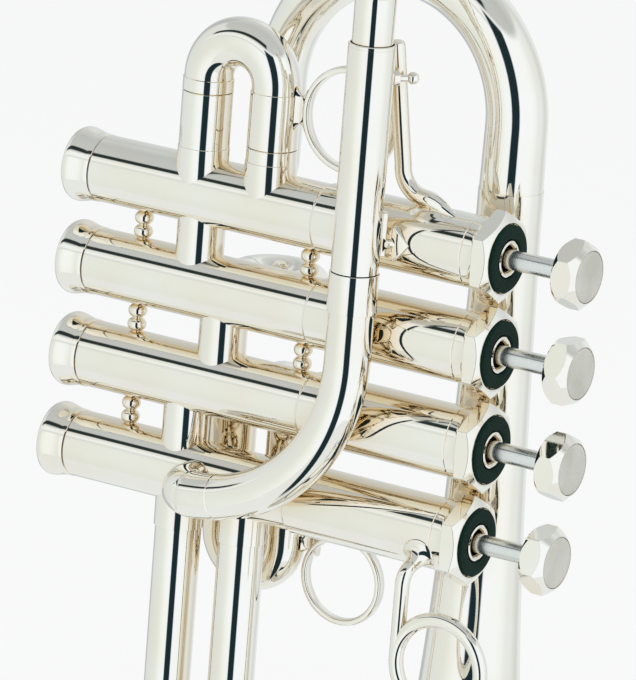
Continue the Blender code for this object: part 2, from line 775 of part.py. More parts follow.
def second_slide():
    left, right = (CAPS_X + x for x in SECOND_SLIDE_X)
    bend = (right - left) / 2
    y = VALVE_Y + SECOND_BEND_START
    start = VALVE_Y + SECOND_SPLIT + FIT
    curve = arc(((left + right) / 2, y, Z2), bend, 180, 0, BEND_STEPS, (1, 0, 0), (0, 1, 0))
    path = [Vector((left, start, Z2)), *curve, Vector((right, start, Z2))]
    body = tube("second_slide_crook", path, SECOND_R, SIDES_12)
    low = VALVE_Y + SECOND_INSERT_BOTTOM
    inner = SECOND_R - INNER_WALL - FIT
    inserts = [cylinder("insert", inner, (x, low, Z2), (x, y, Z2), 16) for x in (left, right)]
    body = join(body, together("inserts", *inserts))
    bore = [Vector((left, low - OVERRUN, Z2)), *curve, Vector((right, low - OVERRUN, Z2))]
    body = cut(body, tube("bore", bore, inner - INNER_WALL, SIDES_10))
    return finish(body, SILVER, (left, low, Z2))


def hanging_slide(name, xs, y, split, bend_z, insert, ferrule):
    """A U that hangs from two outer legs, with a ferrule where its tubes meet them."""
    left, right = (CAPS_X + x for x in xs)
    bend = (right - left) / 2
    inner = TUBE_R - INNER_WALL - FIT
    curve = arc(((left + right) / 2, y, bend_z), bend, 180, 360, BEND_STEPS, (1, 0, 0), (0, 0, 1))
    path = [Vector((left, y, split - FIT)), *curve, Vector((right, y, split - FIT))]
    body = tube(name, path, TUBE_R, SIDES_12)
    ferrules = []
    inserts = []
    for x in (left, right):
        top = split - FIT
        ferrules.append(cylinder("ferrule", FERRULE_R, (x, y, top), (x, y, top - ferrule), 16))
        inserts.append(cylinder("insert", inner, (x, y, split + insert), (x, y, bend_z + SHORT_OVERRUN), 16))
    body = join(body, together("ferrules", *ferrules), together("inserts", *inserts))
    bore = [Vector((left, y, split + insert + OVERRUN)), *curve, Vector((right, y, split + insert + OVERRUN))]
    body = cut(body, tube("bore", bore, inner - INNER_WALL, SIDES_10))
    return finish(body, SILVER, (left, y, split + insert))


def third_slide():
    split = Z4 - THIRD_SPLIT
    y = VALVE_Y + THIRD_SLIDE_Y
    bend = Z4 - THIRD_BEND_START
    return hanging_slide("third_slide_crook", THIRD_SLIDE_X, y, split, bend, THIRD_INSERT, THIRD_FERRULE)


def fourth_slide():
    split = Z4 - FOURTH_SPLIT
    bend = Z4 - FOURTH_BEND_START
    return hanging_slide(
        "fourth_slide_crook", FOURTH_SLIDE_X, VALVE_Y, split, bend, FOURTH_INSERT, FOURTH_FERRULE
    )


def slide_ring(name, centre, radius, leg_x, leg_r, rise, foot):
    """A flat band ring with a foot, rise over its centre, that is saddled onto a slide's leg."""
    x, y, z = centre
    turn = Matrix.Rotation(math.radians(90), 4, "X")
    half = RING_WIDTH / 2
    soft = RING_WIDTH * 0.25
    middle = radius - RING_BAND / 2
    band = [
        (middle, half),
        (radius, half - soft),
        (radius, -half + soft),
        (middle, -half),
        (radius - RING_BAND, -half + soft),
        (radius - RING_BAND, half - soft),
    ]
    body = turned(name, band, 28, Matrix.Translation(centre) @ turn)
    reach = x - leg_x - math.sqrt(radius**2 - rise**2) + RING_BAND * 0.6
    size = (reach, RING_WIDTH * 0.8, foot)
    body = join(body, box("foot", size, Matrix.Translation((leg_x + reach / 2, y, z + rise))))
    shape = cylinder("saddle", leg_r + FIT, (leg_x, y, z - 0.02), (leg_x, y, z + 0.03), 20)
    hole = cylinder("hole", radius - RING_BAND, (x, y - LONG_OVERRUN, z), (x, y + LONG_OVERRUN, z), 28)
    return cut(body, shape, hole)


def thumb_ring():
    centre = (CAPS_X + THUMB_RING_X, VALVE_Y + FIRST_SLIDE_Y, Z1 + THUMB_RING_RISE)
    leg_x = CAPS_X + FIRST_SLIDE_X[1]
    body = slide_ring("first_slide_thumb_ring", centre, THUMB_RING_R, leg_x, LEG_R, 0, THUMB_RING_FOOT)
    return finish(body, SILVER)


def finger_ring():
    leg_x = CAPS_X + THIRD_SLIDE_X[1]
    x = leg_x + FERRULE_R + FINGER_RING_GAP + FINGER_RING_R
    centre = (x, VALVE_Y + THIRD_SLIDE_Y, Z4 - FINGER_RING_DROP)
    foot = 2 * (FINGER_RING_DROP - FINGER_FOOT_RISE - THIRD_SPLIT - 2 * FIT)
    body = slide_ring(
        "third_slide_finger_ring", centre, FINGER_RING_R, leg_x, FERRULE_R, FINGER_FOOT_RISE, foot
    )
    return finish(body, SILVER)


def flare_radius(z):
    """The bell's outside: a horn whose radius falls off as a power of the height."""
    return RIM_R * (FLARE_START / (z + FLARE_START)) ** FLARE_POWER


def bell():
    top = Z1 + BELL_ABOVE_VALVE_1
    outside = []
    for k in range(BELL_RINGS + 1):
        share = k / BELL_RINGS
        z = RIM_BEAD_R * 0.9 + (top - RIM_BEAD_R * 0.9) * share**2.6
        outside.append(Vector((flare_radius(z), z)))
    inside = []
    for k, point in enumerate(outside):
        before = outside[max(k - 1, 0)]
        after = outside[min(k + 1, BELL_RINGS)]
        along = (after - before).normalized()
        inside.append(point + Vector((-along.y, along.x)) * BELL_WALL)
    inside[-1] = Vector((outside[-1].x - BELL_WALL, top))
    inside = [p for p in inside if p.y > RIM_BEAD_R * 0.5]
    bead = []
    for a in (67.5, 22.5, -22.5, -67.5, -112.5):
        radius = RIM_BEAD_R / math.cos(math.radians(22.5))
        r = RIM_R - RIM_BEAD_R + radius * math.cos(math.radians(a))
        bead.append((r, RIM_BEAD_R + radius * math.sin(math.radians(a))))
    down = [tuple(p) for p in reversed(outside)]
    up = [tuple(p) for p in inside]
    place = Matrix.Translation((BELL_X, 0, 0))
    return finish(turned("bell", down + bead + up, BELL_SIDES, place), SILVER)


def bow_path():
    big, small = BELL_X, CAPS_X + BOW_SMALL_X
    bend = (big - small) / 2
    z = Z1 + BOW_TANGENT
    path = [Vector((big, 0, Z1 + BELL_ABOVE_VALVE_1 + FIT))]
    path += arc(((big + small) / 2, 0, z), bend, 0, 180, BOW_STEPS, (1, 0, 0), (0, 0, 1))
    path += arc((small, -BOW_ELBOW_R, Z1 + BOW_ELBOW_R), BOW_ELBOW_R, 0, -90, 5, (0, 1, 0), (0, 0, 1))
    path += [Vector((small, VALVE_Y + OVERRUN, Z1))]
    return path


def bow():
    """The bow narrows evenly round the bend, from the bell's upper end to the first valve's tube."""
    path = bow_path()
    big = flare_radius(Z1 + BELL_ABOVE_VALVE_1)
    lengths = [0.0]
    for before, after in zip(path, path[1:]):
        lengths.append(lengths[-1] + (after - before).length)
    end = lengths[BOW_STEPS + 1]
    radii = [big + (BOW_SMALL_R - big) * min(length / end, 1) for length in lengths]
    body = tube("bell_bow", path, 0, SIDES_16, radii)
    bore = [path[0] - Vector((0, 0, 0.003)), *path[1:-1], path[-1] - Vector((0, 0.003, 0))]
    body = cut(body, tube("bore", bore, 0, SIDES_10, [r - BOW_WALL for r in radii]))
    return finish(cut(body, casing_cutter(0)), SILVER)


def bell_brace():
    """A short post between the second casing's back and the bell."""
    x = CAPS_X + BELL_BRACE_X
    z = (Z1 + Z2) / 2
    start = (x, VALVE_Y + CASING_R * 0.3, Z2)
    body = cylinder("bell_brace", BELL_BRACE_R, start, (x, 0, Z2), 12)
    body = join(body, cylinder("foot", BELL_BRACE_R * 1.7, start, (x, VALVE_Y + CASING_R + 0.0012, Z2), 12))
    body = cut(body, casing_cutter(1))
    gap = 0.0006
    low, high = Z2 - LONG_OVERRUN, Z2 + LONG_OVERRUN
    wide, narrow = flare_radius(low) + gap, flare_radius(high) + gap
    profile = [(0, high), (narrow, high), (wide, low), (0, low)]
    skin = solid_turned("skin", profile, BELL_SIDES, Matrix.Translation((BELL_X, 0, 0)))
    return finish(cut(body, skin), SILVER)


def leadpipe_sleeve():
    x = CAPS_X + LEADPIPE_X
    top, bottom = Z1 + SLEEVE_TOP, Z1 - SLEEVE_BOTTOM
    inner = SLEEVE_R - SLEEVE_WALL
    profile = [
        (SLEEVE_R, top),
        (SLEEVE_R, bottom),
        (inner, bottom),
        (inner, top),
    ]
    place = Matrix.Translation((x, LEAD_Y, 0))
    body = turned("leadpipe_sleeve", profile, 20, place)
    way = Vector((math.cos(math.radians(SCREW_TURN)), math.sin(math.radians(SCREW_TURN)), 0))
    centre = Vector((x, LEAD_Y, Z1 + SCREW_RISE))
    boss_foot = centre + way * (SLEEVE_R - 0.0003)
    boss = cylinder("boss", 0.0021, boss_foot, centre + way * (SLEEVE_R + 0.0014), 12)
    body = join(body, boss)
    hole_foot = centre + way * (inner - SHORT_OVERRUN)
    hole = cylinder("hole", SCREW_SHANK_R + FIT, hole_foot, centre + way * 0.02, 10)
    return finish(cut(body, hole), SILVER)


def leadpipe():
    """The pull-out leadpipe with its mouthpiece receiver, open right through."""
    x = CAPS_X + LEADPIPE_X
    outer = SLEEVE_R - SLEEVE_WALL - FIT
    top = Z1 + RECEIVER_TOP
    sleeve_top = Z1 + SLEEVE_TOP
    shoulder = top - RECEIVER_LENGTH
    profile = [
        (RECEIVER_R + 0.0006, top),
        (RECEIVER_R + 0.0009, top - 0.0008),
        (RECEIVER_R + 0.0006, top - 0.0020),
        (RECEIVER_R, top - 0.0028),
        (RECEIVER_R, shoulder),
        (outer, shoulder - 0.0012),
        (outer, sleeve_top - LEADPIPE_INSERT),
        (LEADPIPE_BORE, sleeve_top - LEADPIPE_INSERT),
        (RECEIVER_BORE_BOTTOM, shoulder),
        (RECEIVER_BORE_TOP, top),
    ]
    place = Matrix.Translation((x, LEAD_Y, 0))
    obj = turned("leadpipe_with_receiver", profile, 20, place)
    return finish(obj, SILVER, (x, LEAD_Y, sleeve_top))


def lock_screw():
    """A small thumb screw that pinches the leadpipe in its sleeve."""
    x = CAPS_X + LEADPIPE_X
    way = Vector((math.cos(math.radians(SCREW_TURN)), math.sin(math.radians(SCREW_TURN)), 0))
    centre = Vector((x, LEAD_Y, Z1 + SCREW_RISE))
    start = centre + way * (SLEEVE_R - SLEEVE_WALL + FIT / 2)
    head = centre + way * SCREW_REACH
    body = cylinder("leadpipe_lock_screw", SCREW_SHANK_R, start, head, 10)
    body = join(body, ball("head", SCREW_HEAD_R, head))
    return finish(body, SILVER, head)


def crook_path():
    lead_x = CAPS_X + LEADPIPE_X
    end_x = CAPS_X + LEADPIPE_X - CROOK_SPAN
    low = Z4 - CROOK_DROP
    path = [Vector((lead_x, LEAD_Y, Z1 - SLEEVE_BOTTOM - FIT))]
    centre = (lead_x - CROOK_BEND_R, LEAD_Y, low + CROOK_BEND_R)
    path += arc(centre, CROOK_BEND_R, 0, -90, 8, (1, 0, 0), (0, 0, 1))
    elbow = (end_x + CROOK_ELBOW_R, LEAD_Y + CROOK_ELBOW_R, low)
    turn = arc(elbow, CROOK_ELBOW_R, -90, -180, 4, (1, 0, 0), (0, 1, 0))
    if path[-1].x < turn[0].x + 0.0005:
        path = path[:-1]
    path += turn
    path += [Vector((end_x, VALVE_Y - OVERRUN, low))]
    return path


def leadpipe_crook():
    path = crook_path()
    body = hollow("leadpipe_crook", path, CROOK_R, CROOK_R - CROOK_WALL, SIDES_16)
    x = CAPS_X + LEADPIPE_X
    top = Z1 - SLEEVE_BOTTOM - FIT
    low = Z1 - CROOK_FERRULE_BOTTOM
    ferrule = cylinder("ferrule", CROOK_FERRULE_R, (x, LEAD_Y, top), (x, LEAD_Y, low), 24)
    body = join(body, ferrule)
    bore_top = (x, LEAD_Y, top + LONG_OVERRUN)
    bore = cylinder("bore", CROOK_R - CROOK_WALL, bore_top, (x, LEAD_Y, top - 0.012), 16)
    body = cut(body, bore)
    return finish(cut(body, casing_cutter(3)), SILVER)


def leadpipe_brace():
    """A strip on the leadpipe's sleeve, a short post, and a diamond foot on the first casing."""
    lead = Vector((CAPS_X + LEADPIPE_X, LEAD_Y, Z1))
    foot = Vector((CAPS_X + DIAMOND_X, VALVE_Y - CASING_UPPER_R, Z1))
    way = (foot - lead).normalized()
    angle = math.atan2(way.y, way.x)
    turn = Matrix.Rotation(angle, 4, "Z")
    middle = lead + way * (SLEEVE_R + FLANGE_THICK) + Vector((0, 0, FLANGE_RISE))
    body = box("leadpipe_brace", (2 * FLANGE_THICK, 0.0030, FLANGE_HEIGHT), Matrix.Translation(middle) @ turn)
    body = join(body, cylinder("post", 0.0017, lead + way * (SLEEVE_R + 0.0006), foot + way * 0.002, 12))
    tilt = Matrix.Rotation(math.radians(45), 4, "Y")
    place = Matrix.Translation(foot + Vector((0, -DIAMOND_THICK / 2, 0))) @ tilt
    body = join(body, box("diamond", (DIAMOND * 0.71, DIAMOND_THICK * 2, DIAMOND * 0.71), place))
    sleeve = pocket(lead.x, lead.y, Z1 - SLEEVE_BOTTOM - LONG_OVERRUN, Z1 + 0.03, SLEEVE_R + FIT, 24)
    return finish(cut(body, casing_cutter(0), sleeve), SILVER)


def brace_rod():
    """A slim rod from a foot on the first casing up to the leadpipe sleeve's upper end."""
    y = VALVE_Y + ROD_Y
    low = Z1 + CASING_UPPER_R + ROD_R + 0.0002
    x = CAPS_X + ROD_X
    away = SLEEVE_R + FIT + ROD_R
    top_x = CAPS_X + LEADPIPE_X + ROD_TOP_SIDE
    top_y = LEAD_Y + math.sqrt(away**2 - ROD_TOP_SIDE**2) + 0.0001
    path = [Vector((top_x, top_y, Z1 + ROD_TOP))]
    path += arc((x + ROD_BEND_R, y, low + ROD_BEND_R), ROD_BEND_R, 180, 270, 6, (1, 0, 0), (0, 0, 1))
    path += [Vector((CAPS_X + ROD_FOOT_X, y, low - 0.0006))]
    radii = [ROD_R] * (len(path) - 3) + [ROD_R * 1.05, ROD_R * 1.2, ROD_R * 1.7]
    body = tube("leadpipe_brace_rod", path, 0, SIDES_12, radii)
    return finish(cut(body, casing_cutter(0)), SILVER)


def finger_hook():
    """A wire hook: a foot on the fourth casing, a bend down and a ring for the little finger."""
    y = VALVE_Y + HOOK_Y
    x = CAPS_X + HOOK_X
    foot_x = CAPS_X + HOOK_FOOT_X
    ring_z = Z4 - HOOK_RING_DROP
    down = math.radians(HOOK_FOOT_TURN)
    way = Vector((0, -math.cos(down), -math.sin(down)))
    axis = Vector((foot_x, VALVE_Y, Z4))
    heights = (-BALUSTER_SEAT, SHORT_OVERRUN, HOOK_FLARE)
    path = [axis + way * (CASING_UPPER_R + height) for height in heights]
    # The foot leans down to the wire, which an arc turns upright.
    reach = -HOOK_Y - HOOK_BEND_R * (1 - math.sin(down))
    z = Z4 - reach * math.tan(down) - HOOK_BEND_R * math.cos(down)
    centre = (foot_x, y + HOOK_BEND_R, z)
    bend = arc(centre, HOOK_BEND_R, 90 - HOOK_FOOT_TURN, 0, 4, (0, -1, 0), (0, 0, 1))
    out = Vector((x - foot_x, 0, 0))
    for k, point in enumerate(bend):
        path.append(point + out * (k + 1) / (len(bend) + 1))
    path += [Vector((x, y, ring_z + HOOK_RING_R * 0.4)), Vector((x, y, ring_z))]
    radii = [HOOK_FOOT_R, HOOK_FOOT_R, HOOK_NECK_R] + [HOOK_WIRE_R] * (len(path) - 3)
    body = tube("finger_hook", path, 0, SIDES_8, radii)
    ring = arc((x + HOOK_RING_R, y, ring_z), HOOK_RING_R, 0, 360, 22, (1, 0, 0), (0, 0, 1))[:-1]
    body = join(body, tube("ring", ring, HOOK_WIRE_R, SIDES_8, cyclic=True))
    return finish(cut(body, casing_cutter(3)), SILVER)


def main():
    clear_scene()
    bpy.context.scene.collection.children.link(bpy.data.collections.new("piccolo_trumpet"))
    for i in range(4):
        casing(i)
        bottom_cap(i)
        top_cap(i)
        felt(i)
        piston(i)
        spring(i)
        stem(i)
        button(i)
        inlay(i)
    for k in range(3):
        crossover(k)
    for build in (
        first_slide,
        second_slide,
        third_slide,
        fourth_slide,
        thumb_ring,
        finger_ring,
        bell,
        bow,
        bell_brace,
        leadpipe_sleeve,
        leadpipe,
        lock_screw,
        leadpipe_crook,
        leadpipe_brace,
        brace_rod,
        finger_hook,
    ):
        build()


main()
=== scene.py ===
"""Looks for the piccolo trumpet: mirror-polished silver plate in a white studio.

Metres, in the same frame as the CAD: +Z up, the valves along X, the leadpipe on the -Y side.
"""

import math

import bpy
from mathutils import Matrix, Vector


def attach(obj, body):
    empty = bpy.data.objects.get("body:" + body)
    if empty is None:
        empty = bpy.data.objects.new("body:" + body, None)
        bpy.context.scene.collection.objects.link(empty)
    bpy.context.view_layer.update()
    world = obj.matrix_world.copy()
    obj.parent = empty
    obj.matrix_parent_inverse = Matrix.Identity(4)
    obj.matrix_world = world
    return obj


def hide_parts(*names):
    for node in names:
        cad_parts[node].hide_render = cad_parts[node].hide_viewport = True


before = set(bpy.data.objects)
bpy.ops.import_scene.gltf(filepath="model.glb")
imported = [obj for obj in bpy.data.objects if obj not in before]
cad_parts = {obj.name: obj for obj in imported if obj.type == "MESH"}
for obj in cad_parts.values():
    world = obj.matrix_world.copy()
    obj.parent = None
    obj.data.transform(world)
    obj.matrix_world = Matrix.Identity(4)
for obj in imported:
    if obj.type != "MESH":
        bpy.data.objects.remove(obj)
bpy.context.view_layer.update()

# The CAD's layout
FIT = 0.0003
CAPS_X, BELL_X = -0.08275, 0.03475
VALVE_Y, LEAD_Y = -0.022, -0.0385
LEAD_X = CAPS_X + 0.0963
VALVE_Z = (0.187, 0.162, 0.137, 0.112)
Z1, Z2, Z3, Z4 = VALVE_Z
ENDS_X = (CAPS_X, CAPS_X, CAPS_X, CAPS_X - 0.002)
CASING_R, UPPER_R, BORE_R = 0.0088, 0.0093, 0.0078
CASING_START, CASING_SEAM, CASING_END = 0.0084, 0.078, 0.1221
HEX_LOW, FELT_SEAT, CAP_FACE = 0.1261, 0.1293, 0.1308
FELT_TOP = FELT_SEAT + FIT + 0.0018
BUTTON_LOW = FELT_TOP + 0.0166
BUTTON_TOP = BUTTON_LOW + 0.0067
PISTON_TOP = 0.110
TUBE_R, LEG_R, SECOND_R, CROOK_R, SLEEVE_R = 0.0062, 0.0066, 0.0058, 0.0060, 0.0061
SINK = 0.0004  # how far a soldered tube's end lies under the casing's skin
TUBE_END = 0.006  # a soldered tube's path starts or ends this far from a casing's axis
JOINT = 0.00015  # half of the open line at a slide's joint
FERRULE_R, SPIGOT_R, INSERT_R = 0.0065, 0.0055, 0.0054
RECEIVER_TOP = Z1 + 0.088
SLEEVE_TOP, SLEEVE_LOW = Z1 + 0.0517, Z1 - 0.0073
BELL_TOP = Z1 + 0.008
BOW_FOOT_X = CAPS_X + 0.0465
ELBOW_R = 0.007  # bend of the bow's foot and of the third slide's legs

# The slides: their legs' places along the valves, and where legs end, collars end and bends start
FIRST_XS, FIRST_Y = (CAPS_X + 0.0390, CAPS_X + 0.0597), VALVE_Y - 0.0015
FIRST_SPLITS, FIRST_COLLARS, FIRST_BEND_Z = (0.0268, 0.0155), (0.0122, 0.0119), Z1 + 0.031
SECOND_XS, SECOND_Y, SECOND_SPLIT = (CAPS_X + 0.0450, CAPS_X + 0.0620), VALVE_Y + 0.0155, VALVE_Y + 0.0145
THIRD_XS, THIRD_Y = (CAPS_X + 0.0420, CAPS_X + 0.0598), VALVE_Y + 0.018
THIRD_SPLIT, THIRD_BEND_Z = Z4 - 0.0120, Z4 - 0.0187
FOURTH_XS = (CAPS_X + 0.0386, CAPS_X + 0.0584)
FOURTH_SPLIT, FOURTH_BEND_Z = Z4 - 0.0620, Z4 - 0.082
CROSSOVER_XS = (0.0391, 0.0481, 0.0389)  # from CAPS_X
BALUSTER_XS = (0.0213, 0.0728)
BUTTON_TURNS = (30, 0, 34, 13)

# The photograph's camera, and the light
CAMERA_PLACE = (0.83846, -1.39751, 0.58117)
CAMERA_RIGHT = Vector((0.83934, 0.53841, 0.07501))
CAMERA_DOWN = Vector((0.19935, -0.17648, -0.96391))
CAMERA_AHEAD = Vector((-0.50573, 0.82400, -0.25546))
CAMERA_AZIMUTH = 31.5
LENS = 368.3
KEY_SIZE, KEY_WATTS, KEY_PLACE, KEY_AIM = (1.2, 0.9), 7, (0.3, -0.7, 1.3), (0, 0, 0.15)


# Geometry

def mesh_object(name, verts, faces, sharp=30):
    mesh = bpy.data.meshes.new(name)
    mesh.from_pydata([tuple(v) for v in verts], [], faces)
    mesh.validate()
    mesh.shade_smooth()
    mesh.set_sharp_from_angle(angle=math.radians(sharp))
    obj = bpy.data.objects.new(name, mesh)
    bpy.context.scene.collection.objects.link(obj)
    return obj


def lathe(name, profile, place, sides=96, closed=False, sharp=30, reach=None):
    """A turned piece. Profile points are (radius, height); reach(angle, radius, height) may move a point."""
    verts, rings = [], []
    for r, h in profile:
        if r < 1e-7:
            rings.append([len(verts)])
            verts.append(place @ Vector((0, 0, h)))
            continue
        ring = []
        for k in range(sides):
            a = math.tau * k / sides
            rr, hh = reach(a, r, h) if reach else (r, h)
            ring.append(len(verts))
            verts.append(place @ Vector((rr * math.cos(a), rr * math.sin(a), hh)))
        rings.append(ring)
    pairs = list(zip(rings, rings[1:]))
    if closed:
        pairs.append((rings[-1], rings[0]))
    faces = []
    for low, high in pairs:
        for k in range(sides):
            j = (k + 1) % sides
            if len(low) == 1 and len(high) == 1:
                continue
            if len(low) == 1:
                faces.append((low[0], high[j], high[k]))
            elif len(high) == 1:
                faces.append((low[k], low[j], high[0]))
            else:
                faces.append((low[k], low[j], high[j], high[k]))
    return mesh_object(name, verts, faces, sharp)


def arc(centre, radius, start, end, u, v, step=3.0):
    """Points on an arc from start to end degrees, where u and v span its plane."""
    centre, u, v = Vector(centre), Vector(u), Vector(v)
    steps = max(2, round(abs(end - start) / step))
    points = []
    for i in range(steps + 1):
        a = math.radians(start + (end - start) * i / steps)
        points.append(centre + u * radius * math.cos(a) + v * radius * math.sin(a))
    return points


def lengths_along(path):
    """How far each point of a path is from its start."""
    lengths = [0.0]
    for before, after in zip(path, path[1:]):
        lengths.append(lengths[-1] + (after - before).length)
    return lengths


def radius_at(stations, s):
    """A tube's radius at a distance, between its stations."""
    if s <= stations[0][0]:
        return stations[0][1]
    for (s0, r0), (s1, r1) in zip(stations, stations[1:]):
        if s <= s1:
            return r0 if s1 - s0 < 1e-9 else r0 + (r1 - r0) * (s - s0) / (s1 - s0)
    return stations[-1][1]


def loft(rings):
    """Faces between rings of equal length."""
    faces = []
    for low, high in zip(rings, rings[1:]):
        for j in range(len(low)):
            n = (j + 1) % len(low)
            faces.append((low[j], low[n], high[n], high[j]))
    return faces


def ends(rings):
    """Faces that close the first ring and the last."""
    return [tuple(reversed(rings[0])), tuple(rings[-1])]


def looped(name, loops, sharp, bottom=True):
    """A piece from loops of as many points each, closed at the top and, if asked, at the bottom."""
    count = len(loops[0])
    rings = [list(range(k * count, (k + 1) * count)) for k in range(len(loops))]
    caps = ends(rings) if bottom else ends(rings)[1:]
    return mesh_object(name, [point for loop in loops for point in loop], caps + loft(rings), sharp)


def bulge(value, power):
    """A sine or cosine raised to a power with its sign kept, for squarish rounds."""
    return math.copysign(abs(value) ** power, value)


def pipe(name, path, stations, sides=64, start=None, end=None, loop=False):
    """A tube along a path. Stations are (distance, radius); start and end may reshape the end rings."""
    path = [Vector(p) for p in path]
    if loop:
        path.append(path[0].copy())
    lengths = lengths_along(path)
    total = lengths[-1]
    if not isinstance(stations, list):
        stations = [(0.0, stations), (total, stations)]
    stations = [(s if s >= 0 else total + s, r) for s, r in stations]
    marks = sorted(set(lengths) | {min(max(s, 0.0), total) for s, r in stations})
    kept = [marks[0]]
    for s in marks[1:]:
        if s - kept[-1] > 1e-6:
            kept.append(s)
    directions = [(b - a).normalized() for a, b in zip(path, path[1:])]
    middles = [(a + b).normalized() for a, b in zip(directions, directions[1:])]
    tangents = [directions[0], *middles, directions[-1]]
    if loop:
        tangents[0] = tangents[-1] = (directions[0] + directions[-1]).normalized()
    side = directions[0].orthogonal().normalized()
    previous = tangents[0]
    k = 0
    verts, rings = [], []
    for s in kept:
        while k < len(lengths) - 2 and s > lengths[k + 1] + 1e-9:
            k += 1
        share = (s - lengths[k]) / max(lengths[k + 1] - lengths[k], 1e-12)
        place = path[k].lerp(path[k + 1], share)
        if share < 1e-6:
            tangent = tangents[k]
        elif share > 1 - 1e-6:
            tangent = tangents[k + 1]
        else:
            tangent = tangents[k].lerp(tangents[k + 1], share).normalized()
        side = previous.rotation_difference(tangent) @ side
        side = (side - tangent * side.dot(tangent)).normalized()
        previous = tangent
        over = tangent.cross(side)
        ring = []
        r = radius_at(stations, s)
        for j in range(sides):
            a = math.tau * j / sides
            ring.append(len(verts))
            verts.append(place + (side * math.cos(a) + over * math.sin(a)) * r)
        rings.append(ring)
    for ring, shape in ((rings[0], start), (rings[-1], end)):
        if shape:
            for j in ring:
                verts[j] = shape(verts[j])
    if loop:
        del verts[rings[-1][0]:]
        rings[-1] = rings[0]
        return mesh_object(name, verts, loft(rings))
    return mesh_object(name, verts, loft(rings) + ends(rings))


def on_casing(i, way):
    """Puts a tube's end ring just under a casing's skin. Way is +Z, -Z, +Y or -Y, seen from the casing."""
    rs = CASING_R - SINK

    def shape(v):
        v = v.copy()
        if way[1] == "Z":
            rise = math.sqrt(max(rs**2 - (v.y - VALVE_Y) ** 2, 0))
            v.z = VALVE_Z[i] + (rise if way[0] == "+" else -rise)
        else:
            rise = math.sqrt(max(rs**2 - (v.z - VALVE_Z[i]) ** 2, 0))
            v.y = VALVE_Y + (rise if way[0] == "+" else -rise)
        return v

    return shape


def groove(s, r, wide, deep):
    """Stations for a fine turned line round a tube."""
    return [(s - wide, r), (s - wide / 2, r - deep), (s + wide / 2, r - deep), (s + wide, r)]


def step(s, r0, r1, half=0.00005):
    """Stations for a sudden change of a tube's radius."""
    return [(s - half, r0), (s + half, r1)]


def valve_place(i):
    turn = Matrix.Rotation(math.radians(90), 4, "Y")
    return Matrix.Translation((ENDS_X[i], VALVE_Y, VALVE_Z[i])) @ turn


def rounded(points, radius, steps=4):
    """A closed profile with its corners rounded; points are (r, h), and the first corner stays sharp."""
    points = [*points, points[0]]
    made = []
    count = len(points)
    for k, p in enumerate(points):
        if k in (0, count - 1):
            made.append(p)
            continue
        a, b, c = (Vector(q) for q in (points[k - 1], p, points[k + 1]))
        one, two = a - b, c - b
        fall = min(radius, one.length * 0.45, two.length * 0.45)
        start, end = b + one.normalized() * fall, b + two.normalized() * fall
        for n in range(steps + 1):
            t = n / steps
            q = start * (1 - t) ** 2 + b * 2 * t * (1 - t) + end * t**2
            made.append((q.x, q.y))
    return made[:-1]


def hex_reach(flats, turn, high, front, low, back):
    """Turns a lathe's outer points into a hexagon; front and back are (radius, fall) of its chamfers."""
    corner = flats / math.sqrt(3)

    def reach(a, r, h):
        if r < flats / 2 - 1e-6:
            return r, h
        local = (math.degrees(a) - turn) % 60 - 30
        rr = flats / 2 / math.cos(math.radians(local))
        if abs(h - high) < 1e-6:
            face, fall = front
            h = high - fall * (rr - face) / (corner - face)
        elif abs(h - low) < 1e-6:
            face, fall = back
            h = low + fall * (rr - face) / (corner - face)
        return rr, h

    return reach


# Materials

def nodes_of(name, colour, metallic, roughness):
    """A new material, its node tree and its shader."""
    made = bpy.data.materials.new(name)
    made.use_nodes = True
    made.diffuse_color = (*colour, 1)
    shader = made.node_tree.nodes["Principled BSDF"]
    shader.inputs["Base Color"].default_value = (*colour, 1)
    shader.inputs["Metallic"].default_value = metallic
    shader.inputs["Roughness"].default_value = roughness
    return made, made.node_tree, shader


def node(tree, kind, **values):
    """A new node; values set its inputs or its settings by name."""
    made = tree.nodes.new(kind)
    for key, value in values.items():
        if key in made.inputs:
            made.inputs[key].default_value = value
        else:
            setattr(made, key, value)
    return made


def noise(tree, scale, detail, stretch=(1, 1, 1)):
    """Noise in the object's own metres."""
    place = node(tree, "ShaderNodeTexCoord")
    mapping = node(tree, "ShaderNodeMapping", Scale=stretch)
    made = node(tree, "ShaderNodeTexNoise", Scale=scale, Detail=detail)
    tree.links.new(place.outputs["Object"], mapping.inputs["Vector"])
    tree.links.new(mapping.outputs["Vector"], made.inputs["Vector"])
    return made.outputs["Fac"]


def between(tree, source, low, high, from_low=0.35, from_high=0.65, ease="LINEAR"):
    """Maps a range of a value to another range."""
    made = node(tree, "ShaderNodeMapRange", interpolation_type=ease)
    made.inputs["From Min"].default_value = from_low
    made.inputs["From Max"].default_value = from_high
    made.inputs["To Min"].default_value = low
    made.inputs["To Max"].default_value = high
    tree.links.new(source, made.inputs["Value"])
    return made.outputs["Result"]


def mixed(tree, factor, first, second):
    """Mixes two colours, each a tuple or another node's output."""
    made = node(tree, "ShaderNodeMix", data_type="RGBA")
    tree.links.new(factor, made.inputs[0])
    for slot, colour in ((6, first), (7, second)):
        if isinstance(colour, tuple):
            made.inputs[slot].default_value = (*colour, 1)
        else:
            tree.links.new(colour, made.inputs[slot])
    return made.outputs[2]


def bump(tree, shader, source, strength, distance):
    made = node(tree, "ShaderNodeBump", Strength=strength, Distance=distance)
    tree.links.new(source, made.inputs["Height"])
    tree.links.new(made.outputs["Normal"], shader.inputs["Normal"])


SILVER_TINT = (0.95, 0.915, 0.84)
# A warm, darker colour painted where other surfaces are near: painted shade for the light bounced between
# parts.
PAINTED_SHADE_COLOUR = (0.86, 0.735, 0.54)
PAINTED_SHADE_REACH = 0.013  # how near another surface has to be for the painted shade
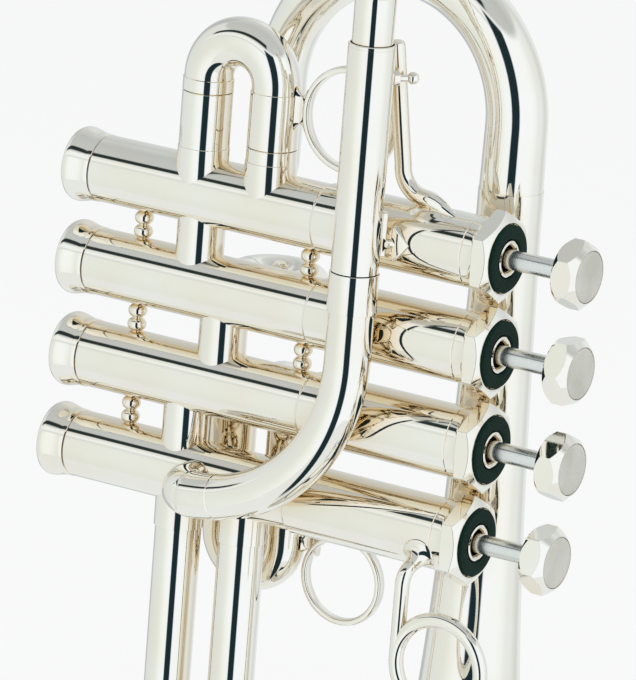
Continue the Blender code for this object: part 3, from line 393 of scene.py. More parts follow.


def silver_plate():
    """Polished plate: cloudy warmth, painted shade in the corners (warmer and darker near other surfaces),
    buffing streaks and a hand-finished skin.
    """
    made, tree, shader = nodes_of("silver_plate", SILVER_TINT, 1.0, 0.03)
    cloud = between(tree, noise(tree, 55, 4), 0, 1)
    warm = tuple(c * f for c, f in zip(SILVER_TINT, (0.985, 0.965, 0.93)))
    # Ambient occlusion paints shade into the colour: warmer and darker near other surfaces.
    corners = node(tree, "ShaderNodeAmbientOcclusion", samples=8, Distance=PAINTED_SHADE_REACH)
    depth = between(tree, corners.outputs["AO"], 1, 0, 0.25, 0.88)
    plate_colour = mixed(tree, cloud, SILVER_TINT, warm)
    tree.links.new(mixed(tree, depth, plate_colour, PAINTED_SHADE_COLOUR), shader.inputs["Base Color"])
    streaks = noise(tree, 900, 2, (1, 1, 0.12))
    tree.links.new(between(tree, streaks, 0.03, 0.06), shader.inputs["Roughness"])
    bump(tree, shader, noise(tree, 260, 2), 0.02, 0.0002)
    return made


def felt_cloth():
    made, tree, shader = nodes_of("green_felt", (0.002, 0.022, 0.015), 0.0, 0.95)
    fibres = noise(tree, 2600, 6)
    colour = mixed(tree, between(tree, fibres, 0, 1, 0.3, 0.7), (0.0008, 0.010, 0.007), (0.003, 0.027, 0.018))
    tree.links.new(colour, shader.inputs["Base Color"])
    shader.inputs["Specular IOR Level"].default_value = 0.15
    shader.inputs["Sheen Weight"].default_value = 0.05
    shader.inputs["Sheen Roughness"].default_value = 0.5
    bump(tree, shader, fibres, 0.7, 0.0002)
    return made


def satin_steel(name, tint, low, high):
    """Turned metal, with fine lines round its axis."""
    made, tree, shader = nodes_of(name, tint, 1.0, (low + high) / 2)
    lines = noise(tree, 700, 3, (14, 1, 1))
    tree.links.new(between(tree, lines, low, high), shader.inputs["Roughness"])
    shade = tuple(c * 0.95 for c in tint)
    tree.links.new(mixed(tree, between(tree, lines, 0, 1), tint, shade), shader.inputs["Base Color"])
    bump(tree, shader, lines, 0.05, 0.0001)
    return made


def pearl():
    made, tree, shader = nodes_of("pearl_inlay", (0.50, 0.51, 0.47), 0.0, 0.3)
    cloud = noise(tree, 120, 3, (1, 1, 0.6))
    colour = mixed(tree, between(tree, cloud, 0, 1), (0.47, 0.47, 0.41), (0.58, 0.57, 0.50))
    tree.links.new(colour, shader.inputs["Base Color"])
    tree.links.new(between(tree, cloud, 0.26, 0.38), shader.inputs["Roughness"])
    shader.inputs["Coat Weight"].default_value = 0.3
    shader.inputs["Coat Roughness"].default_value = 0.15
    bump(tree, shader, noise(tree, 900, 2), 0.04, 0.0001)
    return made


SILVER = silver_plate()
STEEL = satin_steel("steel", (0.82, 0.83, 0.81), 0.20, 0.28)
MONEL = satin_steel("monel", (0.68, 0.66, 0.62), 0.25, 0.38)
# A dark brown metal that lines the caps' holes: painted shade for the warm dimness inside the hole.
HOLE_SHADE_METAL = satin_steel("painted_hole_shade", (0.42, 0.30, 0.15), 0.20, 0.34)
FELT = felt_cloth()
PEARL = pearl()


def dress(obj, material, body="instrument", replaces=None):
    """Gives a piece its material, slot and body, and hides the CAD node that it stands for."""
    obj.data.materials.clear()
    obj.data.materials.append(material)
    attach(obj, body)
    if replaces:
        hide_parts(replaces)


# Valves

def casing(i):
    profile = [
        (BORE_R, CASING_START),
        (CASING_R - 0.0002, CASING_START),
        (CASING_R, CASING_START + 0.0002),
        (CASING_R, CASING_SEAM - 0.0012),
    ]
    rise, rise_length = UPPER_R - CASING_R, 0.0011
    for k in range(9):
        t = k / 8
        profile.append((CASING_R + rise * (3 * t**2 - 2 * t**3), CASING_SEAM - rise_length * (1 - t)))
    profile += [
        (UPPER_R, CASING_END - 0.0002),
        (UPPER_R - 0.0002, CASING_END),
        (BORE_R, CASING_END),
    ]
    obj = lathe(f"casing_{i + 1}", profile, valve_place(i), 128, closed=True)
    dress(obj, SILVER, replaces=f"valve_{i + 1}_casing")


def bottom_cap(i):
    seat = CASING_START - 0.00003
    profile = [
        (0, 0.0012),
        (0.0066, 0.0012),
        (0.0066, 0.0127),
        (0.0075, 0.0127),
        (0.0075, seat),
        (0.0088, seat),
        (0.0090, seat - 0.0003),
        (0.0090, 0.0068),
        (0.00904, 0.0061),
        (0.00917, 0.0053),
        (0.00935, 0.0046),
        (0.00953, 0.0039),
        (0.00970, 0.0032),
        (0.00983, 0.0026),
        (0.00990, 0.0021),
        (0.00988, 0.0015),
        (0.0097, 0.0010),
        (0.0095, 0.0006),
        (0.0090, 0.0003),
        (0.0083, 0.0001),
        (0.0072, 0.0001),
        (0.0070, 0.0003),
        (0.0020, 0.0005),
        (0, 0.0005),
    ]
    obj = lathe(f"bottom_cap_{i + 1}", profile, valve_place(i), 128, sharp=40)
    dress(obj, SILVER, replaces=f"valve_{i + 1}_bottom_cap")


def top_cap(i):
    place = valve_place(i)
    seat = CASING_END + 0.00003
    skirt = [
        (0.0066, CASING_END - 0.005),
        (0.0075, CASING_END - 0.005),
        (0.0075, seat),
        (0.0092, seat),
        (0.0094, seat + 0.0003),
        (0.0094, HEX_LOW - 0.0016),
        (0.00945, HEX_LOW - 0.0012),
        (0.00965, HEX_LOW - 0.0006),
        (0.0098, HEX_LOW - 0.0001),
        (0.0098, HEX_LOW + 0.0008),
        (0.0066, HEX_LOW + 0.0008),
    ]
    dress(lathe(f"cap_skirt_{i + 1}", skirt, place, 128, closed=True), SILVER)
    flats = 0.0209
    edge = flats / 2 + 0.0001
    nut = [
        (0.0040, HEX_LOW),
        (0.0095, HEX_LOW),
        (edge, HEX_LOW),
        (edge, CAP_FACE),
        (0.0095, CAP_FACE),
        (0.00915, CAP_FACE),
        (0.0090, CAP_FACE - 0.00015),
        (0.0090, FELT_SEAT),
        (0.0040, FELT_SEAT),
    ]
    reach = hex_reach(flats, 0, CAP_FACE, (0.0095, 0.0016), HEX_LOW, (0.0100, 0.0003))
    hexagon = lathe(f"cap_hexagon_{i + 1}", nut, place, 180, closed=True, sharp=18, reach=reach)
    soften(hexagon, 0.00009)
    dress(hexagon, SILVER, replaces=f"valve_{i + 1}_top_cap")
    collar = [
        (0.0036, FELT_SEAT - 0.002),
        (0.0048, FELT_SEAT - 0.002),
        (0.0048, FELT_TOP - 0.0004),
        (0.0047, FELT_TOP - 0.0001),
        (0.0044, FELT_TOP + 0.0001),
        (0.0040, FELT_TOP),
        (0.0037, FELT_TOP - 0.0003),
    ]
    dress(lathe(f"cap_collar_{i + 1}", collar, place, 72, closed=True), SILVER)
    # The throat's brown lining is painted shade inside the cap's hole.
    throat = [(0.0034, HEX_LOW), (0.0037, HEX_LOW), (0.0037, FELT_TOP - 0.0004), (0.0034, FELT_TOP - 0.0007)]
    dress(lathe(f"cap_throat_{i + 1}", throat, place, 72, closed=True), HOLE_SHADE_METAL)


def felt(i):
    low, high = FELT_SEAT + 0.00005, FELT_TOP
    profile = rounded([(0.0051, low), (0.0087, low), (0.0088, high), (0.0051, high)], 0.0005)
    obj = lathe(f"cap_felt_{i + 1}", profile, valve_place(i), 160, closed=True, sharp=180)
    dress(obj, FELT, replaces=f"valve_{i + 1}_cap_felt")


def stem(i):
    profile = [
        (0, BUTTON_LOW + 0.0027),
        (0.0022, BUTTON_LOW + 0.0027),
        (0.0022, BUTTON_LOW - 0.0002),
        (0.00245, BUTTON_LOW - 0.0002),
        (0.00255, BUTTON_LOW - 0.0003),
        (0.00255, PISTON_TOP),
        (0, PISTON_TOP),
    ]
    obj = lathe(f"stem_{i + 1}", profile, valve_place(i), 64)
    dress(obj, STEEL, body=f"valve_{i + 1}", replaces=f"valve_{i + 1}_stem")


def soften(obj, width):
    """Rounds the sharp edges of a hexagon."""
    bevel = obj.modifiers.new("edges", "BEVEL")
    bevel.width = width
    bevel.segments = 2
    bevel.limit_method = "ANGLE"
    bevel.angle_limit = math.radians(18)


def button(i):
    flats, face_r, disc_r = 0.0158, 0.0069, 0.0066
    edge = flats / 2 + 0.0001
    profile = [
        (0.0026, BUTTON_LOW),
        (0.0060, BUTTON_LOW),
        (0.00788, BUTTON_LOW),
        (edge, BUTTON_LOW),
        (edge, BUTTON_TOP),
        (face_r, BUTTON_TOP),
        (0.00674, BUTTON_TOP),
        (0.00668, BUTTON_TOP - 0.0003),
        (0.00668, BUTTON_TOP - 0.0010),
        (0.0026, BUTTON_TOP - 0.0010),
    ]
    turn = BUTTON_TURNS[i] + 30
    reach = hex_reach(flats, turn, BUTTON_TOP, (face_r, 0.0023), BUTTON_LOW, (0.0079, 0.0017))
    obj = lathe(f"button_{i + 1}", profile, valve_place(i), 180, closed=True, sharp=18, reach=reach)
    soften(obj, 0.00012)
    dress(obj, SILVER, body=f"valve_{i + 1}", replaces=f"valve_{i + 1}_finger_button")
    disc = [(0.0, BUTTON_TOP - 0.0008), (disc_r, BUTTON_TOP - 0.0008), (disc_r, BUTTON_TOP - 0.0001)]
    for k in range(7):
        r = disc_r * (1 - k / 6)
        disc.append((r - (0.0002 if k == 0 else 0), BUTTON_TOP + 0.0002 - 0.00012 * (r / disc_r) ** 6))
    inlay = lathe(f"inlay_{i + 1}", disc, valve_place(i), 96, sharp=50)
    dress(inlay, PEARL, body=f"valve_{i + 1}", replaces=f"valve_{i + 1}_button_inlay")


def crossover(k, x):
    x += CAPS_X
    path = [(x, VALVE_Y, VALVE_Z[k + 1] + TUBE_END), (x, VALVE_Y, VALVE_Z[k] - TUBE_END)]
    feet = {"start": on_casing(k + 1, "+Z"), "end": on_casing(k, "-Z")}
    obj = pipe(f"crossover_tube_{k + 1}", path, 0.0063, 96, **feet)
    dress(obj, SILVER, replaces=f"crossover_{k + 1}_{k + 2}")


def baluster(i, x, n):
    """Two balls that fill the gap between two casings."""
    low, high = CASING_R - 0.0003, 0.025 - CASING_R + 0.0003
    middle, waist, ball_r, apart = 0.0125, 0.0012, 0.0025, 0.00185
    profile = [(0, low), (waist, low)]
    for centre in (middle - apart, middle + apart):
        for k in range(15):
            a = math.radians(-66 + 132 * k / 14)
            profile.append((ball_r * math.cos(a) ** 0.8, centre + 0.0019 * math.sin(a)))
    profile += [(waist, high), (0, high)]
    place = Matrix.Translation((CAPS_X + x, VALVE_Y, VALVE_Z[i]))
    dress(lathe(f"baluster_{i}_{n}", list(reversed(profile)), place, 48), SILVER)


# Slides

def first_slide():
    """An upright crook on two legs, with an inner tube in each."""
    left, right = FIRST_XS
    soft = 0.00015
    wide = LEG_R + 0.00015
    for side, x, split, collar in zip(("left", "right"), FIRST_XS, FIRST_SPLITS, FIRST_COLLARS):
        long = split - TUBE_END
        stations = [(0, wide)] + step(collar - TUBE_END, wide, LEG_R)
        stations += [(long - soft, LEG_R), (long, LEG_R - soft)]
        path = [(x, FIRST_Y, Z1 + TUBE_END), (x, FIRST_Y, Z1 + split)]
        dress(pipe(f"first_leg_{side}", path, stations, 96, start=on_casing(0, "+Z")), SILVER)
    spigot = [(right, FIRST_Y, Z1 + 0.0150), (right, FIRST_Y, Z1 + 0.0295)]
    dress(pipe("first_spigot", spigot, SPIGOT_R, 48), SILVER)
    bend = (right - left) / 2
    path = [Vector((left, FIRST_Y, Z1 + FIRST_SPLITS[0] + JOINT))]
    path += arc(((left + right) / 2, FIRST_Y, FIRST_BEND_Z), bend, 180, 0, (1, 0, 0), (0, 0, 1))
    path += [Vector((right, FIRST_Y, Z1 + FIRST_SPLITS[1] + JOINT))]
    total = lengths_along(path)[-1]
    tube, collar = LEG_R - 0.00022, LEG_R + 0.00003
    stations = [(0, LEG_R - soft), (soft, collar)] + step(0.0034, collar, tube)
    stations += step(total - 0.0145, tube, LEG_R) + [(total - soft, LEG_R), (total, LEG_R - soft)]
    obj = pipe("first_crook", path, stations, 96)
    dress(obj, SILVER, body="first_slide", replaces="first_slide_crook")
    insert = [(left, FIRST_Y, Z1 + 0.0105), (left, FIRST_Y, Z1 + 0.028)]
    dress(pipe("first_insert", insert, SPIGOT_R, 48), SILVER, body="first_slide")


def second_slide():
    left, right = SECOND_XS
    for n, x in enumerate(SECOND_XS):
        path = [(x, VALVE_Y + TUBE_END, Z2), (x, SECOND_SPLIT, Z2)]
        dress(pipe(f"second_leg_{n + 1}", path, SECOND_R, 72, start=on_casing(1, "+Y")), SILVER)
        insert = [(x, VALVE_Y + 0.0093, Z2), (x, SECOND_Y, Z2)]
        dress(pipe(f"second_insert_{n + 1}", insert, 0.0050, 48), SILVER, body="second_slide")
    curve = arc(((left + right) / 2, SECOND_Y, Z2), (right - left) / 2, 180, 0, (1, 0, 0), (0, 1, 0))
    start = SECOND_SPLIT + JOINT
    path = [Vector((left, start, Z2)), *curve, Vector((right, start, Z2))]
    obj = pipe("second_crook", path, SECOND_R, 72)
    dress(obj, SILVER, body="second_slide", replaces="second_slide_crook")


def hanging_slide(name, xs, y, split, ferrule, bend_z):
    """A crook that hangs from two legs, with a ferrule at each end."""
    left, right = xs
    curve = arc(((left + right) / 2, y, bend_z), (right - left) / 2, 180, 360, (1, 0, 0), (0, 0, 1))
    path = [Vector((left, y, split - JOINT)), *curve, Vector((right, y, split - JOINT))]
    total = lengths_along(path)[-1]
    soft = 0.0002
    stations = [(0, FERRULE_R - soft), (soft, FERRULE_R)] + step(ferrule, FERRULE_R, TUBE_R)
    stations += step(total - ferrule, TUBE_R, FERRULE_R)
    stations += [(total - soft, FERRULE_R), (total, FERRULE_R - soft)]
    obj = pipe(f"{name}_crook", path, stations, 96)
    dress(obj, SILVER, body=f"{name}_slide", replaces=f"{name}_slide_crook")


def hidden_insert(name, n, x, y, split, long):
    """The inner tube that a hanging crook slides on."""
    path = [(x, y, split + long), (x, y, split - 0.002)]
    dress(pipe(f"{name}_insert_{n + 1}", path, INSERT_R, 48), SILVER, body=f"{name}_slide")


def third_slide():
    hanging_slide("third", THIRD_XS, THIRD_Y, THIRD_SPLIT, 0.0037, THIRD_BEND_Z)
    for n, x in enumerate(THIRD_XS):
        elbow = arc((x, THIRD_Y - ELBOW_R, Z3 - ELBOW_R), ELBOW_R, 90, 0, (0, 1, 0), (0, 0, 1), 6)
        path = [Vector((x, VALVE_Y + TUBE_END, Z3)), *elbow, Vector((x, THIRD_Y, THIRD_SPLIT))]
        dress(pipe(f"third_leg_{n + 1}", path, TUBE_R, 80, start=on_casing(2, "+Y")), SILVER)
        hidden_insert("third", n, x, THIRD_Y, THIRD_SPLIT, 0.030)


def fourth_slide():
    hanging_slide("fourth", FOURTH_XS, VALVE_Y, FOURTH_SPLIT, 0.005, FOURTH_BEND_Z)
    top, slim = Z4 - TUBE_END, TUBE_R - 0.0001
    for n, x in enumerate(FOURTH_XS):
        stations = [(0, FERRULE_R)] + step(0.0092, FERRULE_R, slim) + [(top - FOURTH_SPLIT, slim)]
        path = [(x, VALVE_Y, top), (x, VALVE_Y, FOURTH_SPLIT)]
        dress(pipe(f"fourth_leg_{n + 1}", path, stations, 96, start=on_casing(3, "-Z")), SILVER)
        hidden_insert("fourth", n, x, VALVE_Y, FOURTH_SPLIT, 0.040)


def ring(name, body, centre, radius, leg_x, leg_r, rise, foot):
    """A softly rounded band, and a plate that carries it on the slide's leg; foot is the plate's height."""
    x, y, z = centre
    turn = Matrix.Translation(centre) @ Matrix.Rotation(math.radians(90), 4, "X")
    thick, half_width = 0.00095, 0.0016
    band = []
    for k in range(28):
        a = math.tau * k / 28
        band.append((radius - thick + thick * bulge(math.cos(a), 0.7), half_width * bulge(math.sin(a), 0.7)))
    obj = lathe(f"{name}_ring", band, turn, 128, closed=True, sharp=180)
    dress(obj, SILVER, body=body, replaces=f"{body}_{name}_ring")
    skin = leg_r + 0.0001
    start_x = leg_x + skin
    end_x = x - math.sqrt(radius**2 - rise**2) + 0.0009
    loops = []
    rows, sides = 13, 20
    for k in range(rows):
        t = k / (rows - 1)
        waist = math.sin(math.pi * t)
        px = start_x + (end_x - start_x) * t
        half_z = foot / 2 * (1 - 0.35 * waist)
        half_y = 0.0013 * (1 - 0.25 * waist)
        loop = []
        for j in range(sides):
            a = math.tau * j / sides
            yy = half_y * bulge(math.cos(a), 0.6)
            zz = half_z * bulge(math.sin(a), 0.45)
            # Near the leg the plate follows the tube's round side.
            wrap = leg_x + math.sqrt(max(skin**2 - yy**2, 0)) - start_x
            loop.append((px + wrap * (1 - t), y + yy, z + rise + zz))
        loops.append(loop)
    dress(looped(f"{name}_ring_foot", loops, 50), SILVER, body=body)


# Bell, bow and leadpipe

def flare_radius(z):
    """The bell's outside: 50 mm at the rim's plane, and a tube at the bow."""
    rim_r, scale, power = 0.050, 0.0036, 0.448
    return rim_r * (scale / (z + scale)) ** power


def bell():
    """A thin flare, drawn with finer steps toward its rim, and a round bead."""
    rim_r, bead, wall, lip, steps = 0.0489, 0.0011, 0.0006, 0.0012, 90
    outside = []
    for k in range(steps + 1):
        z = lip + (BELL_TOP - lip) * (k / steps) ** 2.4
        outside.append(Vector((flare_radius(z), z)))
    inside = []
    for k, point in enumerate(outside):
        along = (outside[min(k + 1, steps)] - outside[max(k - 1, 0)]).normalized()
        inside.append(point + Vector((-along.y, along.x)) * wall)
    inside[-1] = Vector((outside[-1].x - wall, BELL_TOP))
    inside = [p for p in inside if p.y > 0.0008]
    rim = []
    for k in range(13):
        a = math.radians(75 - 20 * k)
        rim.append((rim_r + bead * math.cos(a), bead + bead * math.sin(a)))
    profile = [tuple(p) for p in reversed(outside)] + rim + [tuple(p) for p in inside]
    place = Matrix.Translation((BELL_X, 0, 0))
    obj = lathe("bell_flare", list(reversed(profile)), place, 192, closed=True, sharp=40)
    dress(obj, SILVER, replaces="bell")


def bow():
    """The loop from the bell to the first casing, with a ferrule over the bell's joint."""
    middle, bend = (BELL_X + BOW_FOOT_X) / 2, (BELL_X - BOW_FOOT_X) / 2
    path = [Vector((BELL_X, 0, BELL_TOP + JOINT))]
    path += arc((middle, 0, Z1 + 0.028), bend, 0, 180, (1, 0, 0), (0, 0, 1), 2.5)
    taper_end = lengths_along(path)[-1]
    path += arc((BOW_FOOT_X, -ELBOW_R, Z1 + ELBOW_R), ELBOW_R, 0, -90, (0, 1, 0), (0, 0, 1), 6)
    path += [Vector((BOW_FOOT_X, VALVE_Y + TUBE_END, Z1))]
    wide, narrow = flare_radius(BELL_TOP), 0.00615
    stations = [(0, wide - 0.0001), (0.0001, wide), (taper_end + 0.02, narrow)]
    obj = pipe("bow_tube", path, stations, 112, end=on_casing(0, "+Y"))
    dress(obj, SILVER, replaces="bell_bow")
    low, high, inner, outer = BELL_TOP - 0.006, BELL_TOP + 0.004, wide - 0.0003, wide + 0.00012
    profile = [(inner, low), (outer, low), (outer, high), (inner, high)]
    place = Matrix.Translation((BELL_X, 0, 0))
    dress(lathe("bell_ferrule", profile, place, 128, closed=True), SILVER)


def leadpipe():
    place = Matrix.Translation((LEAD_X, LEAD_Y, 0))
    top, bottom, line = SLEEVE_TOP, SLEEVE_LOW, 0.00006
    sleeve = [
        (0.0056, bottom),
        (SLEEVE_R - 0.0001, bottom),
        (SLEEVE_R, bottom + 0.0001),
        (SLEEVE_R, top - 0.0010),
        (SLEEVE_R - line, top - 0.00095),
        (SLEEVE_R - line, top - 0.00085),
        (SLEEVE_R, top - 0.0008),
        (SLEEVE_R, top - 0.0002),
        (SLEEVE_R - 0.0002, top),
        (0.0056, top),
    ]
    dress(lathe("sleeve", sleeve, place, 128, closed=True), SILVER, replaces="leadpipe_sleeve")
    end = RECEIVER_TOP
    shoulder = end - 0.022
    receiver = [
        (0.0044, top - 0.045),
        (0.0053, top - 0.045),
        (0.0053, shoulder - 0.0030),
        (0.0055, shoulder - 0.0022),
        (0.0060, shoulder - 0.0010),
        (0.00635, shoulder),
        (0.0064, shoulder + 0.0006),
        (0.0064, shoulder + 0.0058),
        (0.00634, shoulder + 0.0059),
        (0.00634, shoulder + 0.0061),
        (0.0064, shoulder + 0.0062),
        (0.0064, end - 0.0032),
        (0.0066, end - 0.0028),
        (0.0070, end - 0.0022),
        (0.00725, end - 0.0016),
        (0.0073, end - 0.0010),
        (0.0072, end - 0.0004),
        (0.0069, end),
        (0.0052, end),
        (0.0047, end - 0.0003),
        (0.0041, shoulder),
    ]
    obj = lathe("receiver", receiver, place, 128, closed=True)
    dress(obj, SILVER, body="leadpipe", replaces="leadpipe_with_receiver")


def crook():
    """The quarter bend, with a ferrule at its top and two fine turned lines near the fourth casing."""
    top, low = SLEEVE_LOW - JOINT, Z4 - 0.0006
    end_x = CAPS_X + 0.0475
    bend_r, elbow_r, ferrule_r = 0.045, 0.0062, 0.0064
    bend = arc((LEAD_X - bend_r, LEAD_Y, low + bend_r), bend_r, 0, -90, (1, 0, 0), (0, 0, 1), 2.5)
    turn = arc((end_x + elbow_r, LEAD_Y + elbow_r, low), elbow_r, -90, -180, (1, 0, 0), (0, 1, 0), 7.5)
    bend = [p for p in bend if p.x > turn[0].x + 0.0006]
    path = [Vector((LEAD_X, LEAD_Y, top)), *bend, *turn, Vector((end_x, VALVE_Y - TUBE_END, low))]
    lengths = lengths_along(path)
    elbow = lengths[1 + len(bend)]
    stations = [(0, ferrule_r - 0.0001), (0.0001, ferrule_r)] + step(0.0102, ferrule_r, CROOK_R)
    for along in (elbow - 0.0070, elbow + 0.0017):
        stations += groove(along, CROOK_R, 0.0004, 0.0002)
    stations += [(lengths[-1], CROOK_R)]
    obj = pipe("crook", path, stations, 112, end=on_casing(3, "-Y"))
    dress(obj, SILVER, replaces="leadpipe_crook")


def screw():
    """The leadpipe's lock screw in its boss on the sleeve."""
    angle = math.radians(48)
    way = Vector((math.cos(angle), math.sin(angle), 0))
    centre = Vector((LEAD_X, LEAD_Y, Z1 + 0.0428))
    place = Matrix.Translation(centre) @ way.to_track_quat("Z", "Y").to_matrix().to_4x4()
    foot, top, bore, outer = 0.0058, 0.0075, 0.0012, 0.0021
    boss = rounded([(bore, foot), (outer, foot), (outer, top), (bore, top)], 0.0002)
    dress(lathe("screw_boss", boss, place, 40, closed=True), SILVER)
    ball_r, shank_r = 0.0016, 0.0009
    profile = [(0, foot), (shank_r, foot), (shank_r, 0.0098)]
    for k in range(13):
        a = math.radians(-60 + 150 * k / 12)
        profile.append((ball_r * math.cos(a) if k < 12 else 0, 0.0113 + ball_r * math.sin(a)))
    obj = lathe("screw", profile, place, 48)
    dress(obj, SILVER, body="lock_screw", replaces="leadpipe_lock_screw")


# Braces and the finger hook

def plate(name, outline, place, thick):
    """A flat outline in local X and Z, given thickness along local Y with softened edges."""
    verts, rings = [], []
    for depth, shrink in ((0, 1.0), (0.7, 1.0), (0.9, 0.96), (1.0, 0.9)):
        rings.append(list(range(len(verts), len(verts) + len(outline))))
        verts += [place @ Vector((px * shrink, -thick * depth, pz * shrink)) for px, pz in outline]
    sides = [(b, a, d, c) for a, b, c, d in loft(rings)]
    return mesh_object(name, verts, [tuple(rings[0]), *sides, tuple(reversed(rings[-1]))], 35)


def flared_foot(name, place, rows, skin):
    """A turned flare that follows a casing's round skin. Rows are (radius, height over the skin)."""
    top = rows[-1][1]

    def reach(a, r, h):
        fall = skin - math.sqrt(skin**2 - (r * math.sin(a)) ** 2)
        return r, skin + h - fall * (1 - h / top)

    profile = rows + [(rows[-1][0] - 0.0005, top)]
    return lathe(name, profile, place, 72, sharp=60, reach=reach)


def braces():
    """The leadpipe's post with its diamond foot and strip, and the bell's post."""
    lead = Vector((LEAD_X, LEAD_Y, Z1))
    foot = Vector((CAPS_X + 0.1030, VALVE_Y - UPPER_R, Z1))
    way = (foot - lead).normalized()
    flared = [(0, 0.0024), (0.0006, 0.0018), (0.0014, 0.0013), (-0.0008, 0.0012), (-0.0001, 0.0016)]
    post = pipe("brace_post", [lead + way * (SLEEVE_R + 0.0004), foot + way * 0.0004], flared, 40)
    dress(post, SILVER, replaces="leadpipe_brace")
    wide, tall, blunt = 0.0042, 0.0046, 0.0004
    diamond = [(wide, 0), (blunt, tall), (-blunt, tall), (-wide, 0), (-blunt, -tall), (blunt, -tall)]
    place = Matrix.Translation(foot + Vector((0, 0.0004, 0))) @ Matrix.Rotation(math.radians(14), 4, "Z")
    dress(plate("brace_diamond", diamond, place, 0.0016), SILVER)
    centre = lead + way * (SLEEVE_R + 0.0003) + Vector((0, 0, 0.0026))
    place = Matrix.Translation(centre) @ Matrix.Rotation(math.atan2(way.y, way.x), 4, "Z")
    dress(bar("brace_strip", (0.0022, 0.0030, 0.0115), place, 0.6), SILVER)
    x = CAPS_X + 0.1110
    reach = flare_radius(Z2) + 0.0001
    end_y = -math.sqrt(max(reach**2 - (BELL_X - x) ** 2, 0))
    start_y = VALVE_Y + UPPER_R - 0.0003
    long = end_y - start_y
    stations = [(0, 0.0031), (0.0008, 0.0029), (0.0014, 0.0019)]
    stations += [(long * 0.5, 0.0017), (long - 0.0006, 0.0019), (long, 0.0022)]
    obj = pipe("bell_post", [(x, start_y, Z2), (x, end_y, Z2)], stations, 40)
    dress(obj, SILVER, replaces="bell_brace")


def bar(name, size, place, power):
    """A bar with rounded corners, long along local Z."""
    loops = []
    half_x, half_y, half_z = (s / 2 for s in size)
    sides = 24
    for z, shrink in ((-1, 0.7), (-0.985, 0.9), (-0.96, 1.0), (0.96, 1.0), (0.985, 0.9), (1, 0.7)):
        loop = []
        for j in range(sides):
            a = math.tau * j / sides
            x = half_x * shrink * bulge(math.cos(a), power)
            y = half_y * shrink * bulge(math.sin(a), power)
            loop.append(place @ Vector((x, y, half_z * z)))
        loops.append(loop)
    return looped(name, loops, 40)


def rod():
    """The slim rod from the leadpipe's sleeve to the first casing, where it tapers off over a low saddle."""
    y = VALVE_Y - 0.003
    rod_r, bend_r = 0.0022, 0.0075
    low = Z1 + UPPER_R + rod_r
    x = CAPS_X + 0.1000
    away = SLEEVE_R + 0.0001 + rod_r
    aside = 0.002
    top = Vector((LEAD_X + aside, LEAD_Y + math.sqrt(away**2 - aside**2) + 0.0001, SLEEVE_TOP - 0.0002))
    curve = arc((x + bend_r, y, low + bend_r), bend_r, 180, 270, (1, 0, 0), (0, 0, 1), 5)
    tail = ((0.1090, 0.0002), (0.1108, 0.0007), (0.1127, 0.0015), (0.1146, 0.0023), (0.1164, 0.0031))
    path = [top, *curve] + [Vector((CAPS_X + along, y, low - down)) for along, down in tail]
    total = lengths_along(path)[-1]
    bend = lengths_along(path)[1]
    stations = [(0, 0.0012), (0.0004, 0.0019), (0.001, rod_r), (bend, rod_r), (bend + 0.007, 0.0023)]
    stations += [(total - 0.0075, 0.0023), (total - 0.0040, 0.0017), (total, 0.0005)]
    obj = pipe("brace_rod", path, stations, 48)
    dress(obj, SILVER, replaces="leadpipe_brace_rod")
    centre_x, half_x, half_y, sides = CAPS_X + 0.1095, 0.0066, 0.0038, 48
    loops = []
    for share, lift in ((1.0, 0.00002), (0.94, 0.0002), (0.82, 0.0004), (0.65, 0.0008), (0.48, 0.0014)):
        loop = []
        for j in range(sides):
            a = math.tau * j / sides
            px = centre_x - 0.0012 * (1 - share) + half_x * share * math.cos(a)
            py = y + half_y * share * math.sin(a)
            pz = Z1 + math.sqrt(UPPER_R**2 - (py - VALVE_Y) ** 2) + lift
            loop.append((px, py, pz))
        loops.append(loop)
    dress(looped("brace_rod_foot", loops, 60, bottom=False), SILVER)


def hook():
    """The finger hook: a leaning foot on the fourth casing, a wire and a ring."""
    y = VALVE_Y - 0.0145
    x, foot_x, ring_z = CAPS_X + 0.1165, CAPS_X + 0.1170, Z4 - 0.0302
    wire, bend, ring_r = 0.0019, 0.0045, 0.0125
    tilt = math.radians(28)
    c, s = math.cos(tilt), math.sin(tilt)
    way = Vector((0, -c, -s))
    axis = Vector((foot_x, VALVE_Y, Z4))
    path = [axis + way * (UPPER_R - 0.0006)]
    # The foot leans down to the wire, which an arc turns upright.
    reach = VALVE_Y - y - bend * (1 - s)
    centre = (foot_x, y + bend, Z4 - reach * math.tan(tilt) - bend * c)
    curve = arc(centre, bend, 62, 0, (0, -1, 0), (0, 0, 1), 6)
    for k, point in enumerate(curve):
        path.append(point + Vector((x - foot_x, 0, 0)) * (k + 1) / (len(curve) + 1))
    path += [Vector((x, y, ring_z + 0.005)), Vector((x, y, ring_z))]
    total = lengths_along(path)[-1]
    stations = [(0, 0.0018), (0.002, wire), (total - 0.0006, wire), (total, 0.0012)]
    obj = pipe("hook_wire", path, stations, 48)
    dress(obj, SILVER, replaces="finger_hook")
    place = Matrix.Translation(axis) @ Matrix(((1, 0, 0), (0, -s, -c), (0, c, -s))).to_4x4()
    rows = [(0.0046, -0.0001), (0.0045, 0.0002), (0.0038, 0.0005), (0.0031, 0.0010), (0.0026, 0.0016)]
    rows += [(0.0022, 0.0024), (wire + 0.0001, 0.0034), (wire - 0.0001, 0.0046)]
    dress(flared_foot("hook_foot", place, rows, UPPER_R), SILVER)
    loop = arc((x + ring_r, y, ring_z), ring_r, 0, 360, (1, 0, 0), (0, 0, 1), 4)[:-1]
    dress(pipe("hook_ring", loop, wire, 40, loop=True), SILVER)


# The studio

